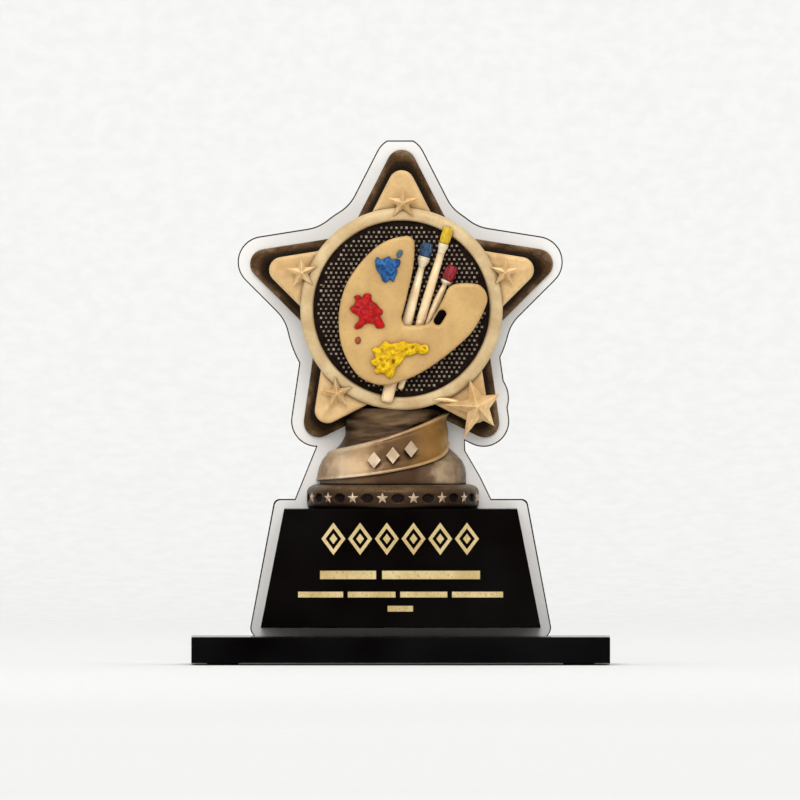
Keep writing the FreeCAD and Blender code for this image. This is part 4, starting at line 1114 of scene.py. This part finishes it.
def build_ribbon():
    """Sash wound across the bell from lower left to upper right, with rolled edges and soft folds."""
    columns, rows, thick = 96, 26, 0.9
    rings = []
    for column in range(columns + 1):
        angle = SASH_START + SASH_SWEEP * column / columns
        low, high, t = sash_edges(angle)
        flare = 3.4 * max(0.0, (t - 0.66) / 0.34) ** 1.5
        a = radians(angle)
        near, far = [], []
        for row in range(rows + 1):
            v = row / rows
            z = low + (high - low) * v
            radius = max(bell_radius(z), bell_radius(low) * (1 - v) + bell_radius(high) * v - 0.6)
            lip = 0.9 * math.exp(-((v - 0.05) / 0.055) ** 2) + 1.0 * math.exp(-((v - 0.94) / 0.055) ** 2)
            fold = 0.25 * sin(v * 9 + t * 5) * (0.4 + 0.6 * t)
            fold += 0.2 * swell(t * 5, v * 3, 1.0)
            r = radius + 0.75 + flare * (0.6 + 0.4 * v) + lip * 0.7 + fold
            near.append(on_pedestal(r, a, z, PANEL_Y))
            far.append(on_pedestal(r - thick, a, z, PANEL_Y))
        rings.append(near + far[::-1])
    material = ribbon_material("ribbon_gold", RIBBON_LIGHT_AND_SHADE_STOPS)
    piece = make_piece("ribbon_sash", *bridge(rings), material, ["ribbon"], "gold_resin")

    def on_lip(degrees, z):
        low, high, _ = sash_edges(degrees)
        return not 0.09 <= (z - low) / (high - low) <= 0.91

    # The lips take the paler ramp: painted highlight.
    second_material(piece, ribbon_material("ribbon_lip_highlight", LIP_HIGHLIGHT_STOPS), on_lip)


def build_foot_stars():
    """Eight small stars on the foot ring, set between its ovals."""
    parts = []
    for step in range(8):
        angle = radians(-70 + 21 * step)
        vertices, faces = faceted_star(regular(2.55), 1.15, 0.35, 1.25)
        out = Vector((sin(angle), -cos(angle), 0))
        side = Vector((cos(angle), sin(angle), 0))
        centre = Vector((PEDESTAL_X, PANEL_Y, PLINTH_TOP + STAR_HIGH)) + out * 32.35
        placed = [tuple(centre + side * a + Vector((0, 0, b)) + out * o) for a, b, o in vertices]
        parts.append((placed, faces))
    piece = make_piece("foot_stars_cast", *join_meshes(parts), GOLD_WORN, ["foot_ring_stars"], "gold_resin",
                       smooth=False)
    soften(piece, 0.08)


# ---------------- acrylic, plinth and fastenings

def finish_cad_nodes():
    """Materials for the pieces that keep their CAD shape."""
    black = acrylic_material("black_acrylic", (0.0012, 0.0008, 0.001), 0.1, 0.012)
    plate = acrylic_material("black_plate", (0.002, 0.0012, 0.0009), 0.12, 0.01)
    white = acrylic_material("white_acrylic", srgb(242, 239, 235), 0.18, 0.2)
    band = acrylic_material("black_trim", (0.004, 0.004, 0.0045), 0.35, 0.1)
    steel = metal_material("zinc_steel", (0.62, 0.62, 0.64), 0.34)
    brass = metal_material("brass_inserts", (0.78, 0.58, 0.26), 0.32)
    rubber = rubber_material("rubber_feet", (0.02, 0.02, 0.021))
    for node, material in (
            ("base_slab", black), ("plinth_block", black), ("name_plate", plate), ("backing_panel", white),
            ("edge_band", band), ("base_screws", steel), ("panel_screws", steel), ("panel_washers", steel),
            ("threaded_inserts", brass), ("foot_pads", rubber), ("ribbon_ornaments", GOLD_WORN),
            ("title_ornament", INLAY), *((f"inscription_line_{n}", INLAY) for n in (1, 2, 3))):
        assign(nodes[node], material)


# ---------------- stage, light and camera

def build_stage():
    """Pale floor that sweeps up into the backdrop behind."""
    bend_y, radius, steps = 1.4, 0.6, 12
    profile = [(-6.5, 0.0), (bend_y, 0.0)]
    for i in range(1, steps + 1):
        angle = radians(90 * i / steps)
        profile.append((bend_y + radius * sin(angle), radius - radius * cos(angle)))
    profile.append((bend_y + radius, 4.0))
    vertices = [(x, y, z) for y, z in profile for x in (-4.0, 4.0)]
    faces = [(2 * i, 2 * i + 1, 2 * i + 3, 2 * i + 2) for i in range(len(profile) - 1)]
    data = bpy.data.meshes.new("studio_sweep")
    data.from_pydata(vertices, [], faces)
    for polygon in data.polygons:
        polygon.use_smooth = True
    floor = add_object("studio_sweep", data)
    s = Shader("pale_floor", specular=0.05)
    grain = s.noise(6.0, 2.0)
    speckle = s.span(grain, 0.35, 0.65)
    pale = s.mix(speckle, srgb(227, 227, 226), srgb(231, 231, 230))
    shade = s.mix(speckle, srgb(206, 206, 205), srgb(210, 210, 209))
    s.colour(s.mix(s.span(s.axis("Y"), -2.4, -4.6), pale, shade))
    s.rough(grain, 0.8, 0.95)
    assign(floor, s.material)


def area_light(name, place, target, size, power):
    light = bpy.data.lights.new(name, "AREA")
    light.shape = "RECTANGLE"
    light.size, light.size_y = size
    light.energy = power
    lamp = add_object(name, light)
    lamp.location = place
    lamp.rotation_euler = (Vector(target) - Vector(place)).to_track_quat("-Z", "Y").to_euler()


VIEW_WIDE = 305.576


def build_light_and_camera():
    """Even studio light, and the camera square to the front as in the photograph."""
    scene = bpy.context.scene
    scene.view_settings.view_transform = "Standard"
    world = bpy.data.worlds.new("soft_studio")
    world.use_nodes = True
    background = world.node_tree.nodes["Background"]
    background.inputs["Color"].default_value = (1.0, 0.995, 0.985, 1.0)
    background.inputs["Strength"].default_value = 0.34
    scene.world = world
    area_light("overhead_bank", (0, -2.2, 3.4), (0, -2.2, 0), (5.0, 9.0), 90)
    area_light("front_bank", (0, -6.6, 4.2), (0, -1.0, 0.2), (5.0, 3.5), 262)
    area_light("left_box", (-1.3, -0.9, 0.7), (0, 0, 0.11), (0.9, 1.3), 5)
    area_light("right_box", (1.4, -0.8, 0.6), (0, 0, 0.11), (0.6, 1.2), 3.5)
    area_light("backdrop_wash", (0, 0.5, 2.7), (0, 2.0, 0.7), (5.0, 0.6), 19)
    view = bpy.data.cameras.new("front_view")
    view.type = "ORTHO"
    view.ortho_scale = VIEW_WIDE * MM
    view.clip_end = 20.0
    camera = add_object("front_view", view)
    target = Vector((-0.27 * MM, 0.0, 101.0 * MM))
    lift, distance = radians(0.6), 5.4
    camera.location = target + Vector((0, -cos(lift), sin(lift))) * distance
    camera.rotation_euler = (target - camera.location).to_track_quat("-Z", "Y").to_euler()
    scene.camera = camera


build_star_body()
build_star_face()
build_ring()
build_mesh_disc()
build_point_stars()
build_corner_star()
build_corner_tail()
build_palette()
build_paint()
build_brushes()
build_pedestal()
build_foot_ring()
build_ribbon()
build_foot_stars()
finish_cad_nodes()
build_stage()
build_light_and_camera()
